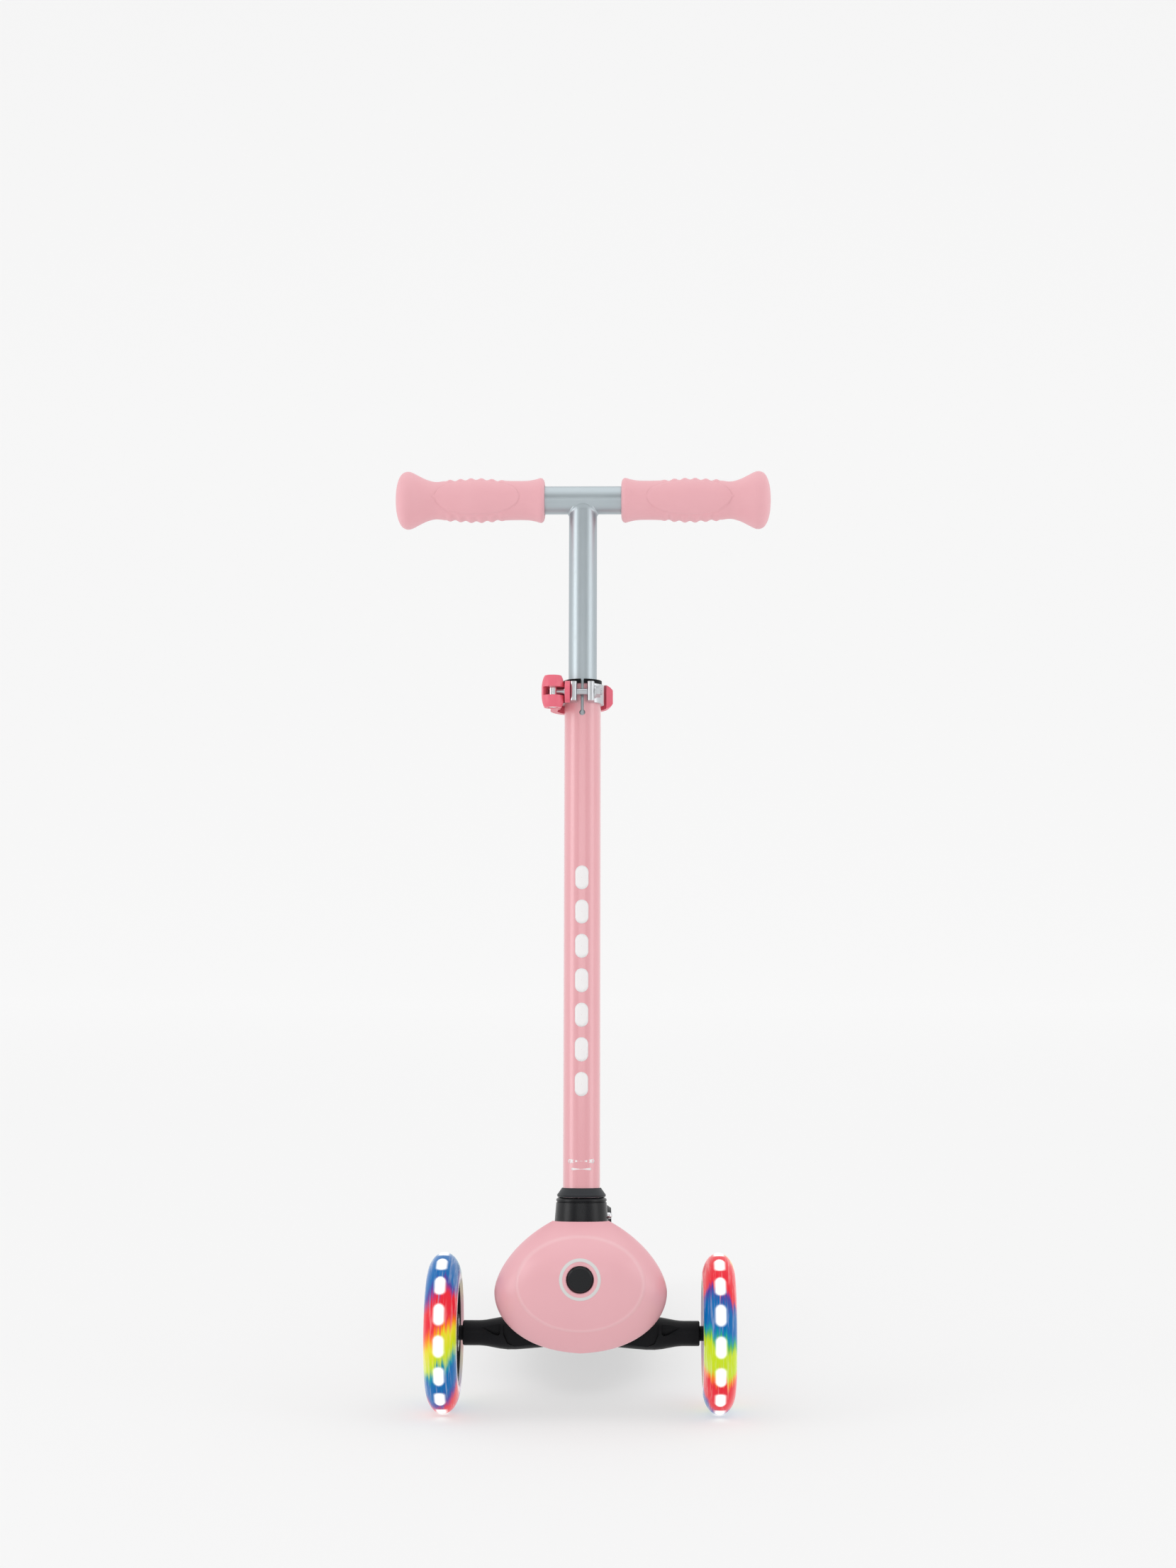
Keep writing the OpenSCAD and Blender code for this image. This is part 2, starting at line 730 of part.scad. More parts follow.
// Urethane rings that twist and bring the truck back to straight
module steering_bushings()
{
    gap = 0.15;
    color([0.75, 0.2, 0.25]) on_kingpin() for (side = [0, 180]) rotate([side, 0, 0])
        translate([0, 0, hub_half]) tube(hub_r - 1, kingpin_r + 0.3, bushing_t - gap);
}

module front_axles()
{
    color(steel) on_ground() translate([0, 0, front_r]) for (side = [-1, 1]) mirror([side < 0 ? 1 : 0, 0, 0])
        translate([arm_end - 30, 0, 0]) along_x() {
            cylinder(r = axle_r, h = wheel_out + 0.2 - arm_end + 30);
            translate([0, 0, wheel_out + 0.2 - arm_end + 30]) cylinder(r = axle_r + 2.4, h = 2);
        }
}

module front_spacers()
{
    color(black_plastic) on_ground() translate([0, 0, front_r]) for (side = [0, 1]) mirror([side, 0, 0])
        translate([arm_end, 0, 0]) along_x() tube(axle_r + 1.7, axle_r, wheel_in - 0.2 - arm_end);
}

// Magnet drums that light the wheels as they turn
module front_magnet_cores()
{
    gap = 0.2;
    drum_in = wheel_in + bearing_w + gap;
    drum_out = wheel_out - bearing_w - gap;
    color(dark_grey) on_ground() translate([0, 0, front_r]) for (side = [0, 1]) mirror([side, 0, 0])
        translate([drum_in, 0, 0]) along_x() tube(bearing_r - 3, axle_r, drum_out - drum_in);
}

// ---- Front wheels, drawn with the axle along Z and the outer side up ----

module front_wheel_place(side)
{
    on_ground() translate([0, 0, front_r]) mirror([side < 0 ? 1 : 0, 0, 0]) translate([front_track / 2, 0, 0])
        along_x() children();
}

module front_tread()
{
    half = front_wheel_w / 2;
    base = front_r - front_crown;
    rotate_extrude() polygon(concat(
        [[core_r, -half + 2], [core_r + 1.5, -half]],
        [for (a = [-90:9:90]) [base + front_crown * cos(a), half * sin(a)]],
        [[core_r + 1.5, half], [core_r, half - 2]]));
}

module light_windows()
{
    for (i = [0:light_count - 1]) rotate([0, 0, light_turn + 360 * i / light_count])
        translate([front_r - light_deep, 0, 0])
        rotate([0, 90, 0]) linear_extrude(light_deep + 5) {
            square([light_w, light_l - light_w], center = true);
            for (end = [-1, 1]) translate([0, end * (light_l - light_w) / 2]) circle(r = light_w / 2);
        }
}

module front_tyre(side)
{
    color([0.75, 0.75, 0.35]) front_wheel_place(side) difference() {
        front_tread();
        light_windows();
    }
}

module front_lights(side)
{
    color("white") front_wheel_place(side) intersection() {
        front_tread();
        light_windows();
    }
}

module front_core(side)
{
    out_end = wheel_out - front_track / 2;
    in_end = wheel_in - front_track / 2;
    rim_half = front_wheel_w / 2 - 2;
    spoke_count = 6;
    color(dark_grey) front_wheel_place(side) difference() {
        union() {
            translate([0, 0, -rim_half]) tube(core_r, core_r - 4.5, 2 * rim_half);
            translate([0, 0, in_end]) cylinder(r = bearing_r + hub_wall, h = out_end - in_end + 2.5);
            difference() {
                translate([0, 0, -1.5]) cylinder(r = core_r - 1, h = 3);
                for (i = [0:spoke_count - 1]) rotate([0, 0, 360 * (i + 0.5) / spoke_count])
                    translate([(core_r + bearing_r) / 2 - 0.5, 0, -5]) cylinder(r = 6.5, h = 10);
            }
            for (i = [0:spoke_count - 1]) rotate([0, 0, 360 * i / spoke_count])
                translate([bearing_r + 1, -1.6, -rim_half + 2])
                    cube([core_r - bearing_r - 3, 3.2, 2 * rim_half - 4]);
        }
        translate([0, 0, in_end - 1]) cylinder(r = bearing_r, h = bearing_w + 1);
        translate([0, 0, out_end - bearing_w]) cylinder(r = bearing_r, h = bearing_w + 9);
        translate([0, 0, -front_wheel_w]) cylinder(r = bearing_r - 1.5, h = 2 * front_wheel_w);
    }
}

// A shielded ball bearing, from the ground up
module bearing()
{
    difference() {
        tube(bearing_r, axle_r + run_gap, bearing_w);
        for (z = [-1, bearing_w - 0.6]) translate([0, 0, z]) tube(bearing_r - 1.8, axle_r + 2, 1.6);
    }
}

module front_bearings(side)
{
    color(steel) front_wheel_place(side) {
        translate([0, 0, wheel_in - front_track / 2]) bearing();
        translate([0, 0, wheel_out - front_track / 2 - bearing_w]) bearing();
    }
}

module front_cap(side)
{
    foot = wheel_out - front_track / 2;
    color(black_plastic) front_wheel_place(side) translate([0, 0, foot]) difference() {
        cylinder(r = bearing_r, h = 3.4);
        translate([0, 0, -1]) cylinder(r = axle_r + 3.4, h = 3.6);
    }
}

module front_tyre_left() { front_tyre(-1); }
module front_lights_left() { front_lights(-1); }
module front_core_left() { front_core(-1); }
module front_bearings_left() { front_bearings(-1); }
module front_cap_left() { front_cap(-1); }
module front_tyre_right() { front_tyre(1); }
module front_lights_right() { front_lights(1); }
module front_core_right() { front_core(1); }
module front_bearings_right() { front_bearings(1); }
module front_cap_right() { front_cap(1); }

// ---- Deck ----

// Half width of the deck at y: a narrow nose, a broad platform and a drawn-in tail
function deck_half(y) = 26 + (deck_w / 2 - 26) * ease((y - deck_front) / 75)
    - (deck_w / 2 - leg_out) * ease((y - deck_rear + 90) / 96);

module deck_outline(y0, y1, inset = 0)
{
    n = 36;
    right = [for (k = [0:n]) let (y = y0 + (y1 - y0) * k / n) [deck_half(y) - inset, y]];
    left = [for (k = [n:-1:0]) [-right[k][0], right[k][1]]];
    polygon(concat(right, left));
}

module deck_frame()
{
    pocket_front = foot_y1 + 8;
    pocket_rear = deck_rear - 40;
    ribs = 7;
    color(black_plastic) on_ground() difference() {
        union() {
            translate([0, 0, frame_low]) linear_extrude(deck_h) deck_outline(deck_front, deck_rear);
            // Fork legs that hold the rear axle
            for (side = [-1, 1]) translate([side * (leg_in + leg_out) / 2, 0, 0])
                slab((leg_out - leg_in) / 2) polygon([[deck_rear - 50, frame_low], [deck_rear - 50, frame_top],
                    [deck_rear - 4, frame_top], [wheelbase - 12, rear_r + 12], [wheelbase + 4, rear_r + 11],
                    [wheelbase + 11, rear_r + 4], [wheelbase + 11, rear_r - 4], [wheelbase + 4, rear_r - 11],
                    [wheelbase - 8, rear_r - 11], [deck_rear - 10, frame_low]]);
            // Ears for the brake's pin
            for (side = [-1, 1]) translate([side * (leg_in + 3), brake_y, brake_z]) along_x()
                cylinder(r = 6.5, h = 6, center = true);
        }
        // Underside pockets between the ribs
        translate([0, 0, frame_low - 1]) linear_extrude(deck_h - deck_wall + 1) difference() {
            deck_outline(pocket_front, pocket_rear, deck_wall);
            for (k = [1:ribs])
                translate([-deck_w, pocket_front + (pocket_rear - pocket_front) * k / (ribs + 1) - 1.5])
                    square([2 * deck_w, 3]);
            for (x = [-deck_w / 4, 0, deck_w / 4]) translate([x - 1.5, pocket_front - 1])
                square([3, pocket_rear - pocket_front + 2]);
        }
        // Seat for the head's foot
        translate([-foot_half - foot_gap, 0, foot_z])
            cube([2 * (foot_half + foot_gap), foot_y1 + foot_gap, deck_h]);
        // Room for the rear wheel and the brake's eye
        translate([-leg_in, brake_y - brake_eye_r - 1.5, 0]) cube([2 * leg_in, 3 * rear_r, 3 * rear_r]);
        for (p = foot_screws) translate([p[0], p[1], 0]) cylinder(r = 3, h = 2 * deck_top);
        translate([0, wheelbase, rear_r]) along_x() cylinder(r = axle_r, h = 2 * deck_w, center = true);
        translate([0, brake_y, brake_z]) along_x() cylinder(r = brake_pin_r, h = 2 * deck_w, center = true);
    }
}

module deck_pad()
{
    ridge = 0.8;
    color(pink) on_ground() difference() {
        translate([0, 0, frame_top]) linear_extrude(pad_t) deck_outline(foot_y1 + 2, deck_rear - 34, 5);
        for (k = [0:9]) translate([-14, foot_y1 + 40 + 18 * k, deck_top - ridge]) cube([28, 5, 2]);
    }
}

module head_screws()
{
    color(steel) on_ground() for (p = foot_screws) translate([p[0], p[1], frame_low]) {
        cylinder(r = 3, h = deck_wall + 9);
        translate([0, 0, -2.6]) cylinder(r = 5, h = 2.6);
    }
}

// ---- Rear wheel ----

module rear_place() { on_ground() translate([0, wheelbase, rear_r]) along_x() children(); }

module rear_tyre()
{
    half = rear_wheel_w / 2;
    crown = 12;
    color(pink) rear_place() rotate_extrude() polygon(concat(
        [[rear_r - 16, -half + 2], [rear_r - 14.5, -half]],
        [for (a = [-90:9:90]) [rear_r - crown + crown * cos(a), half * sin(a)]],
        [[rear_r - 14.5, half], [rear_r - 16, half - 2]]));
}

module rear_core()
{
    half = rear_wheel_w / 2 - 2;
    hub_end = rear_wheel_w / 2 - 1;
    color(dark_grey) rear_place() difference() {
        union() {
            translate([0, 0, -half]) tube(rear_r - 16, bearing_r + 5, 2 * half);
            translate([0, 0, -hub_end]) cylinder(r = bearing_r + 2.5, h = 2 * hub_end);
            translate([0, 0, -3]) cylinder(r = rear_r - 17, h = 6);
        }
        for (side = [0, 180]) rotate([side, 0, 0]) translate([0, 0, hub_end - bearing_w])
            cylinder(r = bearing_r, h = 20);
        cylinder(r = bearing_r - 2, h = 2 * rear_wheel_w, center = true);
    }
}

module rear_bearings()
{
    color(steel) rear_place() for (side = [0, 180]) rotate([side, 0, 0])
        translate([0, 0, rear_wheel_w / 2 - 1 - bearing_w]) bearing();
}

module rear_axle()
{
    color(steel) rear_place() {
        translate([0, 0, -leg_out]) cylinder(r = axle_r, h = 2 * leg_out + 6);
        translate([0, 0, -leg_out - 4]) cylinder(r = axle_r + 3, h = 4, $fn = 6);
    }
}

module rear_axle_nut()
{
    color(steel) rear_place() translate([0, 0, leg_out]) difference() {
        cylinder(r = axle_r + 3, h = 5, $fn = 6);
        translate([0, 0, -1]) cylinder(r = axle_r, h = 9);
    }
}

module rear_spacers()
{
    hub_end = rear_wheel_w / 2 - 1;
    color(dark_grey) rear_place() {
        for (side = [0, 180]) rotate([side, 0, 0]) translate([0, 0, hub_end + 0.3])
            tube(axle_r + 2, axle_r, leg_in - hub_end - 0.3);
        inner = hub_end - bearing_w - 0.3;
        translate([0, 0, -inner]) tube(axle_r + 2, axle_r, 2 * inner);
    }
}

// ---- Foot brake ----

module brake_fender()
{
    inner = rear_r + brake_gap;
    half = rear_wheel_w / 2 + 5;
    front_a = 232;
    out_y = wheelbase + fender_r * sin(front_a);
    out_z = rear_r - fender_r * cos(front_a);
    color(dark_grey) on_ground() difference() {
        union() {
            // Arch over the wheel, crowned across its width
            translate([0, wheelbase, rear_r]) along_x()
                rotate_extrude(angle = front_a - 90 - fender_tail, start = 90 + fender_tail) polygon([
                    [inner - 3, -half], [inner - 0.5, -half], [inner + 1.8, -half + 3.5], [fender_r, -half + 9],
                    [fender_r, half - 9], [inner + 1.8, half - 3.5], [inner - 0.5, half], [inner - 3, half],
                    [inner, half - 4], [inner, -half + 4]]);
            // Tongue from the arch to the eye
            slab(brake_eye_half) polygon([
                [brake_y - 2, brake_z + brake_eye_r - 0.6], [out_y + 0.6, out_z + 1.2],
                [wheelbase + fender_r * sin(front_a - 6), rear_r - fender_r * cos(front_a - 6)],
                [wheelbase + inner * sin(front_a - 6), rear_r - inner * cos(front_a - 6)],
                [wheelbase + inner * sin(front_a), rear_r - inner * cos(front_a)], [brake_y + 3, brake_z - 2]]);
            translate([0, brake_y, brake_z]) along_x()
                cylinder(r = brake_eye_r, h = 2 * brake_eye_half, center = true);
        }
        translate([0, brake_y, brake_z]) along_x()
            cylinder(r = brake_pin_r + run_gap, h = 4 * brake_eye_half, center = true);
    }
}

module brake_pin()
{
    color(steel) on_ground() translate([0, brake_y, brake_z]) along_x()
        cylinder(r = brake_pin_r, h = 2 * (leg_in + 7), center = true);
}

module brake_springs()
{
    wire = 0.7;
    room = leg_in - brake_eye_half - 4 * wire;
    color(steel) on_ground() translate([0, brake_y, brake_z]) for (side = [0, 180]) rotate([0, side, 0]) along_x()
        translate([0, 0, brake_eye_half + 2 * wire]) coil(brake_pin_r + 1.3, wire, 3, room);
}

crossbar();
stem_tube();
stem_bush();
grip_left();
grip_right();
column_tube();
column_liner();
clamp_collar();
clamp_bolt();
clamp_nut();
clamp_barrel();
clamp_washer();
clamp_lever();
base_ring();
head_housing();
snap_button();
snap_clip();
front_cover();
cover_screws();
lock_button();
lock_plunger();
lock_spring();
truck_body();
kingpin();
kingpin_nut();
pivot_sleeves();
steering_bushings();
front_axles();
front_spacers();
front_magnet_cores();
front_tyre_left();
front_lights_left();
front_core_left();
front_bearings_left();
front_cap_left();
front_tyre_right();
front_lights_right();
front_core_right();
front_bearings_right();
front_cap_right();
deck_frame();
deck_pad();
head_screws();
rear_tyre();
rear_core();
rear_bearings();
rear_axle();
rear_axle_nut();
rear_spacers();
brake_fender();
brake_pin();
brake_springs();
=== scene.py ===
import json
import math

import bmesh
import bpy
import numpy as np
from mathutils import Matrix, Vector


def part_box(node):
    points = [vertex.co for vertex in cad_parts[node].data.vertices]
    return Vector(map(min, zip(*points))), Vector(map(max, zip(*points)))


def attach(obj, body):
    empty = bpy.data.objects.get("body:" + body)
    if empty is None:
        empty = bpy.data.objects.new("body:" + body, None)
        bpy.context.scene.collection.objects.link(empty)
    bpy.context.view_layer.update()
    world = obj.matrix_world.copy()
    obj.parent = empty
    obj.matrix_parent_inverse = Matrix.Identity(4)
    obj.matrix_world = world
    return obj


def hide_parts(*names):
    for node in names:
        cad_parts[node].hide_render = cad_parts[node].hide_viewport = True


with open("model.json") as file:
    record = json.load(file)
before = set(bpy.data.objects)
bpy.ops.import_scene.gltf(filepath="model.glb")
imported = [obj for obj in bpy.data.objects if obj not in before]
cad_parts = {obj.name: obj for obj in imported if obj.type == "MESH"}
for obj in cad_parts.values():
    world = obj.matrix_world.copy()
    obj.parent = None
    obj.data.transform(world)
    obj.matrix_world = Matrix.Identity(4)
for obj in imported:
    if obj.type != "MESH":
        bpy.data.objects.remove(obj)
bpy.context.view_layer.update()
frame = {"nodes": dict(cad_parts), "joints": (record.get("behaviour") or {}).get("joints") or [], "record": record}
joints = {joint["name"]: joint for joint in frame["joints"]}

# ---------------------------------------------------------------- Camera, floor and light
# A long lens on a level tripod in front of the scooter, a pale studio sweep, and large soft
# lamps: one overhead, one on each side, and a fill in front.
AXLE_Y = joints["front_wheel_left_spin"]["pos_m"][1]
CAMERA_DISTANCE = 2.0
CAMERA_HEIGHT = 0.48
CAMERA_SWING = math.radians(1.0)
CAMERA_ASIDE = 0.0052
SENSOR = 36.0
LENS = 60.1

camera_data = bpy.data.cameras.new("camera")
camera_data.sensor_width = SENSOR
camera_data.lens = LENS
camera = bpy.data.objects.new("camera", camera_data)
bpy.context.scene.collection.objects.link(camera)
aim = Vector((CAMERA_ASIDE, AXLE_Y, CAMERA_HEIGHT))
camera.location = aim + CAMERA_DISTANCE * Vector((math.sin(CAMERA_SWING), -math.cos(CAMERA_SWING), 0))
camera.rotation_euler = (math.pi / 2, 0, CAMERA_SWING)
bpy.context.scene.camera = camera


def new_material(name):
    """An empty node material and the two nodes that every finish starts from."""
    made = bpy.data.materials.new(name)
    made.use_nodes = True
    nodes = made.node_tree.nodes
    return made, nodes, made.node_tree.links, nodes["Principled BSDF"]


def spread(nodes, links, value, low, high, to_low=0.0, to_high=1.0, kind="LINEAR"):
    """A value stretched from one range to another, and held at its ends."""
    made = nodes.new("ShaderNodeMapRange")
    made.interpolation_type = kind
    made.inputs["From Min"].default_value = low
    made.inputs["From Max"].default_value = high
    made.inputs["To Min"].default_value = to_low
    made.inputs["To Max"].default_value = to_high
    links.new(value, made.inputs["Value"])
    return made.outputs["Result"]


def sweep_mesh(width, front, back, rise, bend):
    """The studio sweep: flat floor that curves up into a back wall."""
    outline = [(front, 0.0), (back - bend, 0.0)]
    outline += [(back - bend + bend * math.sin(a), bend - bend * math.cos(a))
                for a in np.linspace(0, math.pi / 2, 24)[1:]]
    outline.append((back, rise))
    mesh = bpy.data.meshes.new("studio_sweep")
    points = [(x, y, z) for y, z in outline for x in (-width / 2, width / 2)]
    faces = [(2 * i, 2 * i + 1, 2 * i + 3, 2 * i + 2) for i in range(len(outline) - 1)]
    mesh.from_pydata(points, [], faces)
    mesh.polygons.foreach_set("use_smooth", [True] * len(mesh.polygons))
    return mesh


SWEEP_WIDTH, SWEEP_FRONT, SWEEP_BACK, SWEEP_RISE, SWEEP_BEND = 12.0, -6.0, 5.0, 5.0, 1.5
sweep_shape = sweep_mesh(SWEEP_WIDTH, SWEEP_FRONT, SWEEP_BACK, SWEEP_RISE, SWEEP_BEND)
sweep = bpy.data.objects.new("studio_sweep", sweep_shape)
bpy.context.scene.collection.objects.link(sweep)
paper, nodes, links, shader = new_material("pale_paper")
shader.inputs["Base Color"].default_value = (0.36, 0.36, 0.36, 1)
shader.inputs["Roughness"].default_value = 0.95
shader.inputs["Specular IOR Level"].default_value = 0.05
shader.inputs["Emission Strength"].default_value = 1.0
depth = nodes.new("ShaderNodeSeparateXYZ")
links.new(nodes.new("ShaderNodeTexCoord").outputs["Object"], depth.inputs["Vector"])
glow = nodes.new("ShaderNodeValToRGB")
glow.color_ramp.elements[0].color = (0.545, 0.545, 0.545, 1)
glow.color_ramp.elements[1].color = (0.645, 0.645, 0.645, 1)
glow.color_ramp.elements.new(0.3).color = (0.578, 0.578, 0.578, 1)
glow.color_ramp.elements.new(0.7).color = (0.620, 0.620, 0.620, 1)
links.new(spread(nodes, links, depth.outputs["Y"], 0.0, SWEEP_BACK), glow.inputs["Fac"])
links.new(glow.outputs["Color"], shader.inputs["Emission Color"])
sweep.data.materials.append(paper)

# White walls and ceiling, darker in front and behind, so round tubes get light edges
world = bpy.data.worlds.new("studio_world")
world.use_nodes = True
nodes, links = world.node_tree.nodes, world.node_tree.links
direction = nodes.new("ShaderNodeTexCoord").outputs["Generated"]
axes = nodes.new("ShaderNodeSeparateXYZ")
links.new(direction, axes.inputs["Vector"])
sideways = nodes.new("ShaderNodeMath")
sideways.operation = "ABSOLUTE"
links.new(axes.outputs["X"], sideways.inputs[0])
brightest = nodes.new("ShaderNodeMath")
brightest.operation = "MAXIMUM"
links.new(sideways.outputs[0], brightest.inputs[0])
links.new(axes.outputs["Z"], brightest.inputs[1])
walls = spread(nodes, links, brightest.outputs[0], 0.30, 0.85, 0.34, 0.90, "SMOOTHSTEP")
links.new(walls, nodes["Background"].inputs["Strength"])
nodes["Background"].inputs["Color"].default_value = (1, 1, 1, 1)
bpy.context.scene.world = world
bpy.context.scene.view_settings.view_transform = "Standard"


def soft_lamp(name, place, size, power, target):
    """A rectangular soft box that points at the target."""
    lamp = bpy.data.lights.new(name, "AREA")
    lamp.shape = "RECTANGLE"
    lamp.size, lamp.size_y = size
    lamp.energy = power
    holder = bpy.data.objects.new(name, lamp)
    holder.location = place
    holder.rotation_euler = (Vector(target) - Vector(place)).to_track_quat("-Z", "Y").to_euler()
    bpy.context.scene.collection.objects.link(holder)
    return holder


MIDDLE = (0, 0, 0.3)
soft_lamp("lamp_top", (0.1, 0.0, 2.2), (2.2, 2.2), 6, MIDDLE)
soft_lamp("lamp_left", (-1.9, -1.0, 0.6), (0.9, 2.2), 11, MIDDLE)
soft_lamp("lamp_right", (1.9, -1.0, 0.6), (0.9, 2.2), 7, MIDDLE)
soft_lamp("lamp_front", (0.0, -3.2, 1.0), (2.4, 0.8), 8, (0, 0, 0.1))

# ---------------------------------------------------------------- Crossbar and stem
# Two 22 mm aluminium tubes, bead-blasted and clear anodised. The stem is coped to the crossbar
# and TIG-welded under it, and slides up and down inside the column.
COLUMN = Vector(joints["handlebar_height"]["axis"]).normalized()
BAR = Vector(frame["record"]["mounts"][1]["pos_m"])
SIDEWAYS = Vector((1, 0, 0))
STEM_R, STEM_WALL = 0.0111, 0.0016
STEM_PINCH, FILLET_SIZE, FILLET_REACH = 0.085, 0.0013, 0.0026


def noise(nodes, links, coordinates, scale, detail=3.0, rough=0.55):
    """A noise texture that reads the given coordinates."""
    made = nodes.new("ShaderNodeTexNoise")
    made.inputs["Scale"].default_value = scale
    made.inputs["Detail"].default_value = detail
    made.inputs["Roughness"].default_value = rough
    links.new(coordinates, made.inputs["Vector"])
    return made


def new_group(name, numbers, colours, outputs):
    """A shader node group with named inputs and outputs; object coordinates come from inside it."""
    group = bpy.data.node_groups.new(name, "ShaderNodeTree")
    for kind, values in (("NodeSocketFloat", numbers), ("NodeSocketColor", colours)):
        for label, value in values:
            socket = group.interface.new_socket(label, in_out="INPUT", socket_type=kind)
            socket.default_value = value
    for label, kind in outputs:
        group.interface.new_socket(label, in_out="OUTPUT", socket_type=kind)
    entry = group.nodes.new("NodeGroupInput")
    leave = group.nodes.new("NodeGroupOutput")
    place = group.nodes.new("ShaderNodeTexCoord").outputs["Object"]
    return group, group.nodes, group.links, entry, leave, place


def mix_colour(nodes, links, factor, first, second):
    """A colour between two colours, each a socket or a plain colour."""
    made = nodes.new("ShaderNodeMix")
    made.data_type = "RGBA"
    links.new(factor, made.inputs[0])
    for socket, value in ((made.inputs[6], first), (made.inputs[7], second)):
        if isinstance(value, (tuple, list)):
            socket.default_value = value
        else:
            links.new(value, socket)
    return made.outputs[2]


def maths(nodes, links, kind, first, second=0.0, third=0.0):
    """One step of arithmetic on sockets or plain numbers."""
    made = nodes.new("ShaderNodeMath")
    made.operation = kind
    for socket, value in zip(made.inputs, (first, second, third)):
        if isinstance(value, (int, float)):
            socket.default_value = value
        else:
            links.new(value, socket)
    return made.outputs[0]


# Cloudy variation, fine grain and a few rubbed spots: every finish uses it at its own strength
surface_group, nodes, links, entry, leave, place = new_group(
    "surface_variation",
    [("Cloud Scale", 18.0), ("Grain Scale", 900.0), ("Rough Low", 0.3), ("Rough High", 0.4),
     ("Rub", 0.1)],
    [("Colour", (0.5, 0.5, 0.5, 1)), ("Colour Worn", (0.6, 0.6, 0.6, 1))],
    [("Colour", "NodeSocketColor"), ("Roughness", "NodeSocketFloat"), ("Height", "NodeSocketFloat")])
cloud = noise(nodes, links, place, 18.0, 4.0)
links.new(entry.outputs["Cloud Scale"], cloud.inputs["Scale"])
grain = noise(nodes, links, place, 900.0, 2.0)
links.new(entry.outputs["Grain Scale"], grain.inputs["Scale"])
rubs = noise(nodes, links, place, 60.0, 6.0, 0.7)
rub_mask = spread(nodes, links, rubs.outputs["Fac"], 0.56, 0.74)
rub_amount = maths(nodes, links, "MULTIPLY", rub_mask, entry.outputs["Rub"])
cloud_amount = spread(nodes, links, cloud.outputs["Fac"], 0.0, 1.0, -0.25, 0.45)
worn = nodes.new("ShaderNodeClamp")
links.new(maths(nodes, links, "ADD", rub_amount, cloud_amount), worn.inputs["Value"])
blended = mix_colour(nodes, links, worn.outputs[0], entry.outputs["Colour"],
                     entry.outputs["Colour Worn"])
links.new(blended, leave.inputs["Colour"])
rough_low = entry.outputs["Rough Low"]
rough_range = maths(nodes, links, "SUBTRACT", entry.outputs["Rough High"], rough_low)
rough_cloud = maths(nodes, links, "MULTIPLY_ADD", cloud.outputs["Fac"], rough_range, rough_low)
rough_rubbed = maths(nodes, links, "MULTIPLY_ADD", rub_amount, 0.4, rough_cloud)
links.new(rough_rubbed, leave.inputs["Roughness"])
links.new(grain.outputs["Fac"], leave.inputs["Height"])


def finish_material(name, colour, worn, rough, cloud_scale=18.0, grain_scale=900.0, bump=0.02,
                    rub=0.15, metallic=0.0, coat=0.0, specular=0.5, sheen=0.0):
    """A finish built on the shared surface variation."""
    made, nodes, links, shader = new_material(name)
    group = nodes.new("ShaderNodeGroup")
    group.node_tree = surface_group
    group.inputs["Colour"].default_value = (*colour, 1)
    group.inputs["Colour Worn"].default_value = (*worn, 1)
    group.inputs["Rough Low"].default_value = rough[0]
    group.inputs["Rough High"].default_value = rough[1]
    group.inputs["Cloud Scale"].default_value = cloud_scale
    group.inputs["Grain Scale"].default_value = grain_scale
    group.inputs["Rub"].default_value = rub
    links.new(group.outputs["Colour"], shader.inputs["Base Color"])
    links.new(group.outputs["Roughness"], shader.inputs["Roughness"])
    relief = nodes.new("ShaderNodeBump")
    relief.inputs["Strength"].default_value = bump
    relief.inputs["Distance"].default_value = 0.001
    links.new(group.outputs["Height"], relief.inputs["Height"])
    links.new(relief.outputs["Normal"], shader.inputs["Normal"])
    shader.inputs["Metallic"].default_value = metallic
    shader.inputs["Coat Weight"].default_value = coat
    shader.inputs["Coat Roughness"].default_value = 0.15
    shader.inputs["Specular IOR Level"].default_value = specular
    shader.inputs["Sheen Weight"].default_value = sheen
    return made


def dress(nodes_named, material):
    """Puts one material on CAD nodes."""
    for name in nodes_named:
        node = frame["nodes"][name]
        node.data.materials.clear()
        node.data.materials.append(material)


anodised = finish_material("anodised_aluminium", (0.47, 0.53, 0.56), (0.54, 0.595, 0.62),
                           (0.36, 0.46), cloud_scale=30, grain_scale=2600, bump=0.06, rub=0.2,
                           metallic=1.0)
dress(["crossbar", "stem_tube"], anodised)
zinc = finish_material("zinc_plated_steel", (0.50, 0.52, 0.55), (0.62, 0.63, 0.64), (0.22, 0.36),
                       cloud_scale=120, grain_scale=1800, bump=0.04, rub=0.4, metallic=1.0)
black_moulded = finish_material("black_moulded_plastic", (0.006, 0.0065, 0.008),
                                (0.012, 0.0125, 0.015), (0.30, 0.42), cloud_scale=40,
                                grain_scale=1500, bump=0.12, rub=0.3, specular=0.12)
dress(["stem_bush"], black_moulded)


